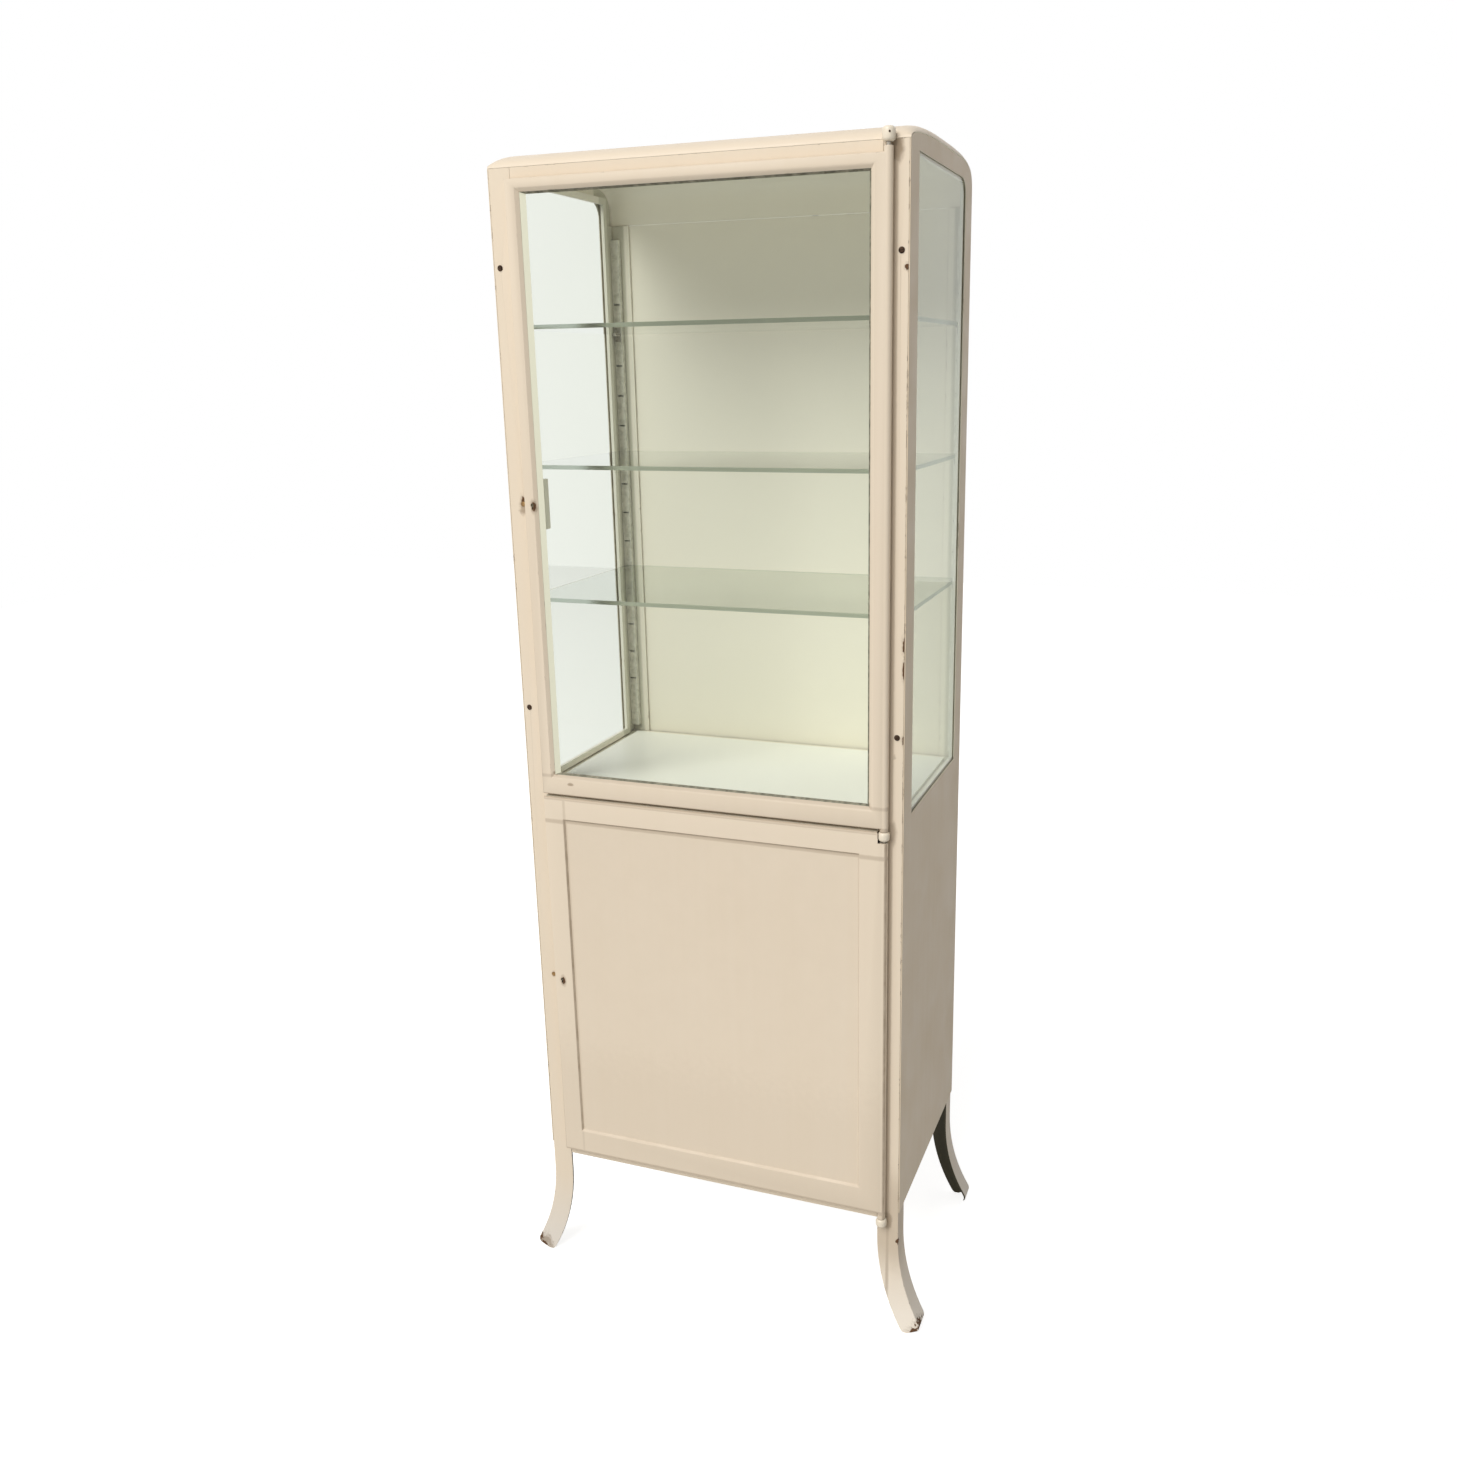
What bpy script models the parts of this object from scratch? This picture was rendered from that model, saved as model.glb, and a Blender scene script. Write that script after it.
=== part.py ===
"""Free-standing steel and glass medical cabinet with a glazed upper door and a steel lower door.

Units are metres, +Z is up and the doors face -Y. The origin is the middle of the floor area under the
cabinet. Both doors hang on the right on pivot pins, and a key lock at the left holds each one shut.
"""

import math

import bmesh
import bpy
from mathutils import Matrix, Vector

# Clearances between pieces
FIT = 0.0003                # pieces that touch
RUN = 0.0006                # pieces that turn or slide on each other

# Carcase
WIDTH = 0.600               # over the side panels
DEPTH = 0.365               # front face of the posts to the back panel
LEG_HEIGHT = 0.193          # floor to the underside of the body
SIDE_RISE = 0.015           # the side and back panels end this much higher than the front rail
SKIN = 0.0015               # sheet of the side panels, back, deck and floor
COVER_SHEET = 0.0018        # sheet of the domed top

# Angle-iron posts with bent feet
POST_WALL = 0.003
POST_FRONT = 0.033          # flange that shows at the front
POST_SIDE = 0.0335          # flange behind the side panel
BEND_START = 0.160          # height where the leg starts to bend outwards
BEND_RADIUS = 0.310
TOE_RADIUS = 0.012          # length of the rounded end of the foot
TOE_NARROW = 0.55           # width left at the very end of the foot, as a share
TOE_FLAT = 0.0012           # how far the round end is ground flat on the floor
LEG_STEPS = 12
TOE_STEPS = 5
FOOT_FLARE = 0.007          # the feet also lean this far forwards or backwards

# Doors, from the bottom up
BOTTOM_REVEAL = 0.0155      # rail that shows under the lower door
LOWER_DOOR_HEIGHT = 0.6165
DOOR_SPLIT = 0.005          # gap between the two doors
UPPER_DOOR_HEIGHT = 0.881
TOP_REVEAL = 0.016          # rail that shows over the upper door
DOOR_THICK = 0.0124
DOOR_STANDOFF = 0.0008      # gap between a shut door and the posts
DOOR_SHEET = 0.0015
DOOR_LAP = 0.0023           # how far the doors lap over the left post
HINGE_INSET = 0.0265        # side of the cabinet to the hinge axis
EDGE_ROUND = 0.0022         # bend at the doors' outer edges

# Upper door frame
LOCK_STILE = 0.0210          # edge of the door to its glass, on the lock side
HINGE_STILE = 0.0275
UPPER_TOP_RAIL = 0.0175
UPPER_BOTTOM_RAIL = 0.0315
GLASS_BEVEL = 0.005         # sloping inner edge of the frame
GLASS_BEVEL_DEPTH = 0.004
GLASS_SEAT = 0.007          # front of the frame to the glass
DOOR_GLASS = 0.003
GLASS_LAP = 0.0035          # how far the glass reaches behind the frame
DOOR_BEAD_WIDTH = 0.0036

# Lower door panel
RECESS_LEFT = 0.0315
RECESS_RIGHT = 0.0400
RECESS_TOP = 0.034
RECESS_BOTTOM = 0.039
RECESS_DEPTH = 0.0035
RECESS_SLOPE = 0.0030
LINER_SHEET = 0.0012

# Domed top
CROWN_RISE = 0.030          # front eaves to the highest point
REAR_DROP = 0.042           # the rear eaves lie this much lower than the front ones
FRONT_ROUNDING = 2.2        # exponents of the two halves of the dome
REAR_ROUNDING = 5.0
SIDE_ROUND_WIDTH = 0.018    # the dome falls towards the sides over this width
SIDE_ROUND_DROP = 0.012
DOME_STEPS = 12

# Side windows
WINDOW_FRONT = 0.044        # front of the cabinet to the opening
WINDOW_REAR = 0.042
WINDOW_SILL = 0.0085        # deck to the opening
WINDOW_HEAD = 0.009         # front eaves to the opening
WINDOW_CORNER = 0.025       # radius of the top rear corner
SIDE_GLASS = 0.0027
SIDE_GLASS_LAP = 0.0065     # above and below the opening
BEAD_WIDTH = 0.010
BEAD_THICK = 0.005

# Rails, deck and floor
TOP_RAIL_DROP = 0.028       # height of the front top rail
RAIL_FLANGE = 0.024
MID_RAIL_DROP = 0.025       # the middle rail starts this much below the top of the lower door
MID_RAIL_LAP = 0.016        # and ends this much above the bottom of the upper door
DECK_RISE = 0.005           # top of the lower door to the deck
BOTTOM_RAIL_HEIGHT = 0.044
FLOOR_RISE = 0.038          # underside of the body to the top of the floor pan
DECK_GLASS = 0.004
DECK_GLASS_MARGIN = 0.012

# Shelves on slotted rails
RAIL_WIDTH = 0.014
RAIL_DEPTH = 0.008
RAIL_SHEET = 0.0012
RAIL_START = 0.012          # deck to the lower end of a slotted rail
RAIL_HEADROOM = 0.064       # its upper end to the front eaves
FIRST_SLOT = 0.0875         # lower end of a rail to its lowest slot's shelf
LAST_SLOT = 0.09975         # highest slot's shelf to the upper end
SLOT_COUNT = 14
SLOT_WIDTH = 0.0106
SHELF_SLOTS = (4, 8, 12)    # slots that carry the shelves
SHELF_GLASS = 0.006
SHELF_SIDE_GAP = 0.0010     # between a shelf and the glazing beads
SHELF_END_GAP = 0.0020      # between a shelf and the slotted rails
CLIP_WIDTH = 0.0095
CLIP_REACH = 0.018
CLIP_SHEET = 0.0018
CLIP_HOOK = 0.008
CLIP_LEG = 0.011

# Pivot hinges
HINGE_RADIUS = 0.0061
PIN_RADIUS = 0.003
PIN_GRIP = 0.018            # length of pin inside a door
KNOB_RADIUS = 0.0084
KNOB_HEIGHT = 0.014
KNOB_ROUND = 0.0046
MIDDLE_KNOB_DROP = 0.0062   # top of the lower door to the middle of the knob beside it
LOWER_KNOB_GAP = 0.0100     # lower door to the bottom knob
TOP_LUG_HEIGHT = 0.018
TOP_LUG_GAP = 0.0115        # upper door to the top lug
TOP_LUG_WIDTH = 0.0135      # of the lug's root on the post
BARREL_GAP = 0.0045         # rolled edge to the top lug
NOTCH_CLEAR = 0.0014        # space around the middle knob
NOTCH_GAP = 0.0028          # space under the middle knob

# Locks
KEY_INSET = 0.0130          # left edge of a door to its keyhole
LOCK_HEIGHT = 0.072
LOCK_WIDTH = 0.0230
LOCK_THICK = 0.014
LOCK_TO_POST = 0.0012       # lock case to the edge of the left post
NOZZLE_RADIUS = 0.0036
NOZZLE_SETBACK = 0.0034     # front of a door to the end of the nozzle
KEY_RADIUS = 0.0026
KEY_SLOT = 0.0022           # width of the keyhole's lower slot
KEY_SLOT_DROP = 0.0062
UPPER_LOCK_RISE = 0.440     # bottom of the door to its keyhole
LOWER_LOCK_RISE = 0.310
BOLT_HEIGHT = 0.012
BOLT_THICK = 0.006
BOLT_LENGTH = 0.018
STRIKE_HEIGHT = 0.030
STRIKE_SHEET = 0.0015
STRIKE_REACH = 0.010        # depth of the strike's lip
STUD_RADIUS = 0.0024
STUD_HEAD_RADIUS = 0.0036
STUD_HEAD = 0.0006

# Rail screws
SCREW_INSET = 0.0107        # side of the cabinet to a screw
SCREW_HEAD_RADIUS = 0.0042
SCREW_HEAD = 0.0016
SCREW_SHANK = 0.002
SCREW_END = 0.0020          # shank past the rail
LOWER_SCREW_RISE = 0.120    # lower end of a rail to its first screw
UPPER_SCREW_DROP = 0.066    # upper end of a rail to its last screw
HOLE_CLEAR = 0.0003

# Places worked out from the sizes above
HALF = WIDTH / 2
POST_X = HALF - SKIN - FIT                      # outer face of the posts
POST_INNER = POST_X - POST_WALL                 # inner face of their side flanges
FLANGE_EDGE = POST_X - POST_FRONT               # inner edge of their front flanges
DOOR_DEPTH = DOOR_STANDOFF + DOOR_THICK
AXIS_BEFORE_POST = DOOR_STANDOFF + DOOR_THICK / 2
FRONT_REACH = AXIS_BEFORE_POST + KNOB_RADIUS
REAR_REACH = FOOT_FLARE - SKIN - FIT
FRONT = -(FRONT_REACH + DEPTH + REAR_REACH) / 2 + FRONT_REACH   # front face of the posts
REAR = FRONT + DEPTH                            # rear face of the back panel
REAR_POST = REAR - SKIN - FIT                   # rear face of the rear posts
AXIS_X = HALF - HINGE_INSET
AXIS_Y = FRONT - AXIS_BEFORE_POST
DOOR_FRONT = FRONT - DOOR_DEPTH
DOOR_REAR = FRONT - DOOR_STANDOFF
DOOR_LEFT = -FLANGE_EDGE - DOOR_LAP
LOWER_BOTTOM = LEG_HEIGHT + BOTTOM_REVEAL
LOWER_TOP = LOWER_BOTTOM + LOWER_DOOR_HEIGHT
UPPER_BOTTOM = LOWER_TOP + DOOR_SPLIT
UPPER_TOP = UPPER_BOTTOM + UPPER_DOOR_HEIGHT
EAVES = UPPER_TOP + TOP_REVEAL
REAR_EAVES = EAVES - REAR_DROP
CROWN = EAVES + CROWN_RISE
DECK_TOP = LOWER_TOP + DECK_RISE
MID_RAIL_LOW = LOWER_TOP - MID_RAIL_DROP
MID_RAIL_HIGH = UPPER_BOTTOM + MID_RAIL_LAP
WINDOW_BOTTOM = DECK_TOP + WINDOW_SILL
WINDOW_TOP = EAVES - WINDOW_HEAD
BED_X = POST_INNER - FIT                        # half width of the deck, floor and beads
BED_FRONT = FRONT + POST_WALL + FIT
BED_REAR = REAR_POST - POST_WALL - FIT
BEAD_INNER = BED_X - BEAD_THICK
RAIL_INNER = BED_X - RAIL_WIDTH
RAIL_LOW = DECK_TOP + RAIL_START
RAIL_TOP = EAVES - RAIL_HEADROOM
SLOT_FIRST = RAIL_LOW + FIRST_SLOT
SLOT_PITCH = (RAIL_TOP - LAST_SLOT - SLOT_FIRST) / (SLOT_COUNT - 1)
MID_KNOB = LOWER_TOP - MIDDLE_KNOB_DROP
LOW_KNOB = LOWER_BOTTOM - LOWER_KNOB_GAP - KNOB_HEIGHT / 2
MIDDLE_TOP = MID_KNOB + KNOB_HEIGHT / 2
LOW_TOP = LOW_KNOB + KNOB_HEIGHT / 2
NOTCH_LOW = MID_KNOB - KNOB_HEIGHT / 2 - NOTCH_GAP
TOP_LUG_LOW = UPPER_TOP + TOP_LUG_GAP
KEY_X = DOOR_LEFT + KEY_INSET
LOCK_LEFT = -FLANGE_EDGE + LOCK_TO_POST
LOCK_FRONT = DOOR_REAR + FIT
STRIKE_FRONT = FRONT + POST_WALL + FIT
BOLT_FRONT = STRIKE_FRONT + STRIKE_SHEET + RUN
STRIKE_EDGE = RAIL_INNER - FIT                  # outer edge of the strikes, beside the slotted rail
STUD_X = STRIKE_EDGE - STUD_HEAD_RADIUS
SCREW_X = HALF - SCREW_INSET
SCREW_LEVELS = {"lower": RAIL_LOW + LOWER_SCREW_RISE, "upper": RAIL_TOP - UPPER_SCREW_DROP}

CREAM = ("cream enamel", (0.78, 0.66, 0.50), 0.35, 0.0)
STEEL = ("bright steel", (0.55, 0.53, 0.50), 0.35, 1.0)
DARK = ("aged steel", (0.10, 0.07, 0.05), 0.55, 0.8)
BRASS = ("aged brass", (0.50, 0.36, 0.16), 0.45, 1.0)
GLASS = ("pale green glass", (0.72, 0.82, 0.76), 0.05, 0.0)


def clear_scene():
    """Removes every object of the open scene."""
    for item in list(bpy.data.objects):
        bpy.data.objects.remove(item, do_unlink=True)


def finish(name, mesh, look, smooth=False):
    """Turns a bmesh into a named object with its own material."""
    bmesh.ops.recalc_face_normals(mesh, faces=mesh.faces)
    data = bpy.data.meshes.new(name)
    mesh.to_mesh(data)
    mesh.free()
    part = bpy.data.objects.new(name, data)
    bpy.context.collection.objects.link(part)
    label, colour, roughness, metallic = look
    material = bpy.data.materials.new(f"{name} {label}")
    material.use_nodes = True
    shader = material.node_tree.nodes["Principled BSDF"]
    shader.inputs["Base Color"].default_value = (*colour, 1.0)
    shader.inputs["Roughness"].default_value = roughness
    shader.inputs["Metallic"].default_value = metallic
    data.materials.append(material)
    if smooth:
        data.shade_smooth()
        data.set_sharp_from_angle(angle=math.radians(35))
    return part


def loft(mesh, loops, closed=False):
    """Joins loops of equal length in order, capping both ends unless the run is closed."""
    rings = [[mesh.verts.new(point) for point in loop] for loop in loops]
    pairs = list(zip(rings, rings[1:]))
    if closed:
        pairs.append((rings[-1], rings[0]))
    for one, two in pairs:
        for index in range(len(one)):
            following = (index + 1) % len(one)
            mesh.faces.new((one[index], one[following], two[following], two[index]))
    if not closed:
        mesh.faces.new(rings[0])
        mesh.faces.new(rings[-1])
    return mesh


def box(low, high):
    """A block between two corners."""
    bottom, top = ([(low[0], low[1], z), (high[0], low[1], z), (high[0], high[1], z), (low[0], high[1], z)]
                   for z in (low[2], high[2]))
    return loft(bmesh.new(), [bottom, top])


def prism(outline, axis, low, high):
    """An outline of two coordinates, drawn out along axis 0, 1 or 2."""
    def place(point, level):
        point = list(point)
        point.insert(axis, level)
        return tuple(point)
    return loft(bmesh.new(), [[place(point, level) for point in outline] for level in (low, high)])


def rod(centre, radius, low, high, sides=24, axis=2):
    """A round bar along an axis; centre is the pair of the other two coordinates."""
    outline = [(centre[0] + radius * math.cos(turn), centre[1] + radius * math.sin(turn))
               for turn in (2 * math.pi * step / sides for step in range(sides))]
    return prism(outline, axis, low, high)


def turned(profile, centre, axis=2, sides=24):
    """A solid of revolution from (radius, height) pairs, whose first and last radius are above zero."""
    loops = []
    for radius, level in profile:
        loop = []
        for step in range(sides):
            turn = 2 * math.pi * step / sides
            point = [centre[0] + radius * math.cos(turn), centre[1] + radius * math.sin(turn)]
            point.insert(axis, level)
            loop.append(tuple(point))
        loops.append(loop)
    return loft(bmesh.new(), loops)


def rectangle(left, right, low, high, y):
    """The four corners of an upright rectangle that faces the front."""
    return [(left, y, low), (right, y, low), (right, y, high), (left, y, high)]


def grown(edges, amount):
    """Left, right, low and high moved outwards by one amount."""
    left, right, low, high = edges
    return left - amount, right + amount, low - amount, high + amount


def add_tool(part, tool, operation="DIFFERENCE"):
    """Cuts a hidden helper from a part, or joins it on."""
    tool.hide_render = True
    tool.display_type = "WIRE"
    change = part.modifiers.new(tool.name, "BOOLEAN")
    change.operation = operation
    change.solver = "EXACT"
    change.object = tool


def cut(part, name, mesh):
    """Cuts a shape out of a part."""
    add_tool(part, finish(name, mesh, DARK))


def join(part, name, mesh):
    """Joins a shape to a part."""
    add_tool(part, finish(name, mesh, DARK), "UNION")


def hang(parts, name, place):
    """Parents parts to an empty on their joint's axis, leaving them where they are."""
    pivot = bpy.data.objects.new(name, None)
    pivot.empty_display_size = 0.05
    pivot.location = place
    bpy.context.collection.objects.link(pivot)
    for part in parts:
        part.parent = pivot
        part.matrix_parent_inverse = Matrix.Translation(-Vector(place))
    return pivot


def dome_height(y, inset=0.0):
    """Height of the domed top over the middle of the cabinet, or of a line inset below it."""
    middle = (FRONT + REAR) / 2
    reach = DEPTH / 2 - inset
    offset = min(abs(y - middle) / reach, 1.0)
    if y < middle:
        base, rise, power = EAVES, CROWN_RISE - inset, FRONT_ROUNDING
    else:
        base, rise, power = REAR_EAVES, CROWN_RISE + REAR_DROP - inset, REAR_ROUNDING
    return base + rise * (1 - offset ** power) ** (1 / power)


def dome_line(inset=0.0):
    """Points (y, z) of the dome from the front eaves to the rear eaves."""
    middle = (FRONT + REAR) / 2
    reach = DEPTH / 2 - inset
    points = []
    for step in range(2 * DOME_STEPS + 1):
        turn = math.pi * (1 - step / (2 * DOME_STEPS))
        power = FRONT_ROUNDING if turn > math.pi / 2 else REAR_ROUNDING
        side = math.copysign(abs(math.cos(turn)) ** (2 / power), math.cos(turn))
        y = middle + reach * side
        points.append((y, dome_height(y, inset)))
    return points


def dome_fall(x):
    """Share of the side drop at a distance x from the middle."""
    share = max(0.0, (abs(x) - (HALF - SIDE_ROUND_WIDTH)) / SIDE_ROUND_WIDTH)
    bend = 0.92
    return (1 - math.sqrt(1 - (bend * share) ** 2)) / (1 - math.sqrt(1 - bend ** 2))


def lowered(point, x):
    """A point of the dome at its height beside the middle, where the top falls to the sides."""
    y, z = point
    base = EAVES if y < (FRONT + REAR) / 2 else REAR_EAVES
    height = CROWN - base
    return x, y, z - SIDE_ROUND_DROP * dome_fall(x) * max(0.0, min(1.0, (z - base) / height))


def make_cover():
    """Domed sheet-steel top, rounded down to the front, the back and both sides."""
    outer = dome_line()
    inner = dome_line(COVER_SHEET)
    stations = [HALF - SIDE_ROUND_WIDTH * (1 - math.sin(math.pi / 2 * step / 5)) for step in range(6)]
    stations = [-x for x in reversed(stations)] + stations
    mesh = bmesh.new()
    rings = []
    for x in stations:
        ring = [mesh.verts.new(lowered(point, x)) for point in outer]
        ring += [mesh.verts.new(lowered(point, x)) for point in reversed(inner)]
        rings.append(ring)
    size = len(rings[0])
    for one, two in zip(rings, rings[1:]):
        for index in range(size):
            following = (index + 1) % size
            mesh.faces.new((one[index], one[following], two[following], two[index]))
    for ring in (rings[0], rings[-1]):
        for index in range(len(outer) - 1):
            mesh.faces.new((ring[index], ring[index + 1], ring[size - 2 - index], ring[size - 1 - index]))
    return finish("top_cover", mesh, CREAM, smooth=True)


def leg_end():
    """Angle through which a leg bends before its toe meets the floor."""
    return math.asin((BEND_START + TOE_FLAT) / (BEND_RADIUS + TOE_NARROW * POST_FRONT / 2))


def make_post(name, side, facing, top):
    """Angle-iron corner post whose lower end bends outwards into a foot with a round toe."""
    face = FRONT if facing < 0 else REAR_POST
    centre = POST_X - POST_FRONT / 2
    half = POST_FRONT / 2
    end = leg_end()

    def section(lean, narrow=1.0, height=None):
        """The angle's six corners, square to the leg's line."""
        x = centre + BEND_RADIUS * (1 - math.cos(lean))
        z = height or BEND_START - BEND_RADIUS * math.sin(lean)
        corners = [(half, 0.0), (half, POST_SIDE), (half - POST_WALL, POST_SIDE),
                   (half - POST_WALL, POST_WALL), (-half, POST_WALL), (-half, 0.0)]
        points = []
        for across, deep in corners:
            px = x + across * narrow * math.cos(lean)
            pz = z + across * narrow * math.sin(lean)
            py = face - facing * deep + facing * FOOT_FLARE * (lean / end) ** 2
            points.append((side * px, py, max(pz, 0.0)))
        return points

    toe_start = end - TOE_RADIUS / BEND_RADIUS
    loops = [section(0.0, height=top)]
    loops += [section(toe_start * step / LEG_STEPS) for step in range(LEG_STEPS + 1)]
    for step in range(1, TOE_STEPS + 1):
        turn = math.pi / 2 * step / TOE_STEPS
        lean = toe_start + (end - toe_start) * math.sin(turn)
        loops.append(section(lean, TOE_NARROW + (1 - TOE_NARROW) * math.cos(turn)))
    return finish(name, loft(bmesh.new(), loops), CREAM)


def side_outline():
    """Outline (y, z) of a side panel, whose top follows the underside of the dome."""
    inset = COVER_SHEET + FIT
    bottom = LEG_HEIGHT + SIDE_RISE
    points = [(FRONT, bottom), (FRONT, EAVES - FIT), (FRONT + inset, EAVES - FIT)]
    for point in dome_line(inset)[1:-1]:
        y, z = lowered(point, HALF)[1:]
        points.append((y, z - FIT))
    points += [(REAR - inset, REAR_EAVES - FIT), (REAR, REAR_EAVES - FIT), (REAR, bottom)]
    return points


def window_outline():
    """Outline (y, z) of the opening in a side panel, with its round top rear corner."""
    front = FRONT + WINDOW_FRONT
    rear = REAR - WINDOW_REAR
    points = [(front, WINDOW_BOTTOM), (front, WINDOW_TOP)]
    steps = 8
    for step in range(steps + 1):
        turn = math.pi / 2 * (1 - step / steps)
        points.append((rear - WINDOW_CORNER * (1 - math.cos(turn)),
                       WINDOW_TOP - WINDOW_CORNER * (1 - math.sin(turn))))
    points.append((rear, WINDOW_BOTTOM))
    return points


def make_side(label, side):
    """Side panel with its window, the glass behind it and the bead that holds the glass."""
    low, high = sorted((side * (HALF - SKIN), side * HALF))
    panel = finish(f"{label}_side_panel", prism(side_outline(), 0, low, high), CREAM)
    cut(panel, f"{label}_window_cutter", prism(window_outline(), 0, low - SKIN, high + SKIN))

    glass_y = (FRONT + POST_SIDE + FIT, REAR_POST - POST_SIDE - FIT)
    glass_z = (WINDOW_BOTTOM - SIDE_GLASS_LAP, WINDOW_TOP + SIDE_GLASS_LAP)
    low, high = sorted((side * (POST_X - SIDE_GLASS), side * POST_X))
    glass = finish(f"{label}_side_glass", box((low, glass_y[0], glass_z[0]), (high, glass_y[1], glass_z[1])), GLASS)

    low, high = sorted((side * BEAD_INNER, side * BED_X))
    lap = BEAD_WIDTH - SIDE_GLASS_LAP
    rings = []
    for grow in (0.0, BEAD_WIDTH):
        edges = (FRONT + POST_SIDE - lap + BEAD_WIDTH - grow, REAR_POST - POST_SIDE + lap - BEAD_WIDTH + grow,
                 glass_z[0] + BEAD_WIDTH - grow, glass_z[1] - BEAD_WIDTH + grow)
        front, rear, bottom, top = edges
        for x in ((low, high) if grow else (high, low)):
            rings.append([(x, front, bottom), (x, rear, bottom), (x, rear, top), (x, front, top)])
    bead = finish(f"{label}_window_bead", loft(bmesh.new(), rings, closed=True), CREAM)
    return panel, glass, bead


def make_angle_rail(name, low, high, flange_at_top):
    """Front rail of angle section between the two front posts."""
    back = FRONT + POST_WALL
    reach = BED_FRONT + RAIL_FLANGE
    edge = high if flange_at_top else low
    inner = edge - POST_WALL if flange_at_top else edge + POST_WALL
    far = low if flange_at_top else high
    outline = [(FRONT, far), (FRONT, edge), (reach, edge), (reach, inner), (back, inner), (back, far)]
    half = FLANGE_EDGE - FIT
    return finish(name, prism(outline, 0, -half, half), CREAM)


def make_pan(name, top, bottom):
    """Sheet-steel deck or floor with its four edges turned down."""
    levels = [(0.0, bottom), (0.0, top), (SKIN, top - SKIN), (SKIN, bottom)]
    loops = []
    for inset, z in levels:
        loops.append([(-BED_X + inset, BED_FRONT + inset, z), (BED_X - inset, BED_FRONT + inset, z),
                      (BED_X - inset, BED_REAR - inset, z), (-BED_X + inset, BED_REAR - inset, z)])
    mesh = bmesh.new()
    rings = [[mesh.verts.new(point) for point in loop] for loop in loops]
    order = (rings[1], rings[0], rings[3], rings[2])
    for one, two in zip(order, order[1:]):
        for index in range(4):
            following = (index + 1) % 4
            mesh.faces.new((one[index], one[following], two[following], two[index]))
    mesh.faces.new(order[0])
    mesh.faces.new(order[-1])
    return finish(name, mesh, CREAM)


def make_back():
    """Back panel between the side panels."""
    half = HALF - SKIN - FIT
    return finish("back_panel", box((-half, REAR - SKIN, LEG_HEIGHT + SIDE_RISE), (half, REAR, REAR_EAVES - FIT)), CREAM)


def make_shelf_rail(name, side, facing):
    """Channel with a row of slots, standing against a post's front or rear flange."""
    foot = BED_FRONT if facing < 0 else BED_REAR
    inward = -facing
    web = foot + inward * RAIL_DEPTH
    left, right = sorted((side * RAIL_INNER, side * BED_X))
    outline = [(left, foot), (left, web), (right, web), (right, foot),
               (right - RAIL_SHEET, foot), (right - RAIL_SHEET, web - inward * RAIL_SHEET),
               (left + RAIL_SHEET, web - inward * RAIL_SHEET), (left + RAIL_SHEET, foot)]
    rail = finish(name, prism(outline, 2, RAIL_LOW, RAIL_TOP), STEEL)
    middle = (left + right) / 2
    slots = bmesh.new()
    for index in range(SLOT_COUNT):
        level = SLOT_FIRST + index * SLOT_PITCH
        deep = sorted((web - inward * 2 * RAIL_SHEET, web + inward * RAIL_SHEET))
        corners = [(middle - SLOT_WIDTH / 2, deep[0]), (middle + SLOT_WIDTH / 2, deep[0]),
                   (middle + SLOT_WIDTH / 2, deep[1]), (middle - SLOT_WIDTH / 2, deep[1])]
        levels = (level - FIT - CLIP_SHEET - FIT, level)
        loft(slots, [[(x, y, z) for x, y in corners] for z in levels])
    cut(rail, f"{name}_slots", slots)
    return rail


def make_clip(name, side, facing, level):
    """Bent clip that hooks into a rail's slot and carries a corner of a glass shelf."""
    foot = BED_FRONT if facing < 0 else BED_REAR
    inward = -facing
    web = foot + inward * RAIL_DEPTH
    behind = web - inward * (RAIL_SHEET + FIT)
    top = level - FIT
    low = top - CLIP_SHEET
    outline = [(web + inward * CLIP_REACH, top), (behind - inward * CLIP_SHEET, top),
               (behind - inward * CLIP_SHEET, top - CLIP_HOOK), (behind, top - CLIP_HOOK),
               (behind, low), (web + inward * FIT, low), (web + inward * FIT, top - CLIP_LEG),
               (web + inward * (FIT + CLIP_SHEET), top - CLIP_LEG), (web + inward * (FIT + CLIP_SHEET), low),
               (web + inward * CLIP_REACH, low)]
    middle = side * (RAIL_INNER + BED_X) / 2
    return finish(name, prism(outline, 0, middle - CLIP_WIDTH / 2, middle + CLIP_WIDTH / 2), STEEL)


def make_shelves():
    """Three glass shelves, four slotted rails and twelve clips."""
    for front_label, facing in (("front", -1), ("rear", 1)):
        for side_label, side in (("left", -1), ("right", 1)):
            rail = make_shelf_rail(f"{side_label}_{front_label}_shelf_rail", side, facing)
            if facing < 0:
                for level in SCREW_LEVELS.values():
                    hole = rod((side * SCREW_X, level), SCREW_SHANK + HOLE_CLEAR, BED_FRONT, BED_FRONT + 2 * RAIL_DEPTH,
                               sides=12, axis=1)
                    cut(rail, f"{side_label}_rail_screw_hole", hole)
    front = BED_FRONT + RAIL_DEPTH + SHELF_END_GAP
    rear = BED_REAR - RAIL_DEPTH - SHELF_END_GAP
    half = BEAD_INNER - SHELF_SIDE_GAP
    for number, slot in enumerate(SHELF_SLOTS, 1):
        level = SLOT_FIRST + slot * SLOT_PITCH
        finish(f"glass_shelf_{number}", box((-half, front, level), (half, rear, level + SHELF_GLASS)), GLASS)
        for front_label, facing in (("front", -1), ("rear", 1)):
            for side_label, side in (("left", -1), ("right", 1)):
                make_clip(f"shelf_{number}_{side_label}_{front_label}_clip", side, facing, level)


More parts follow.
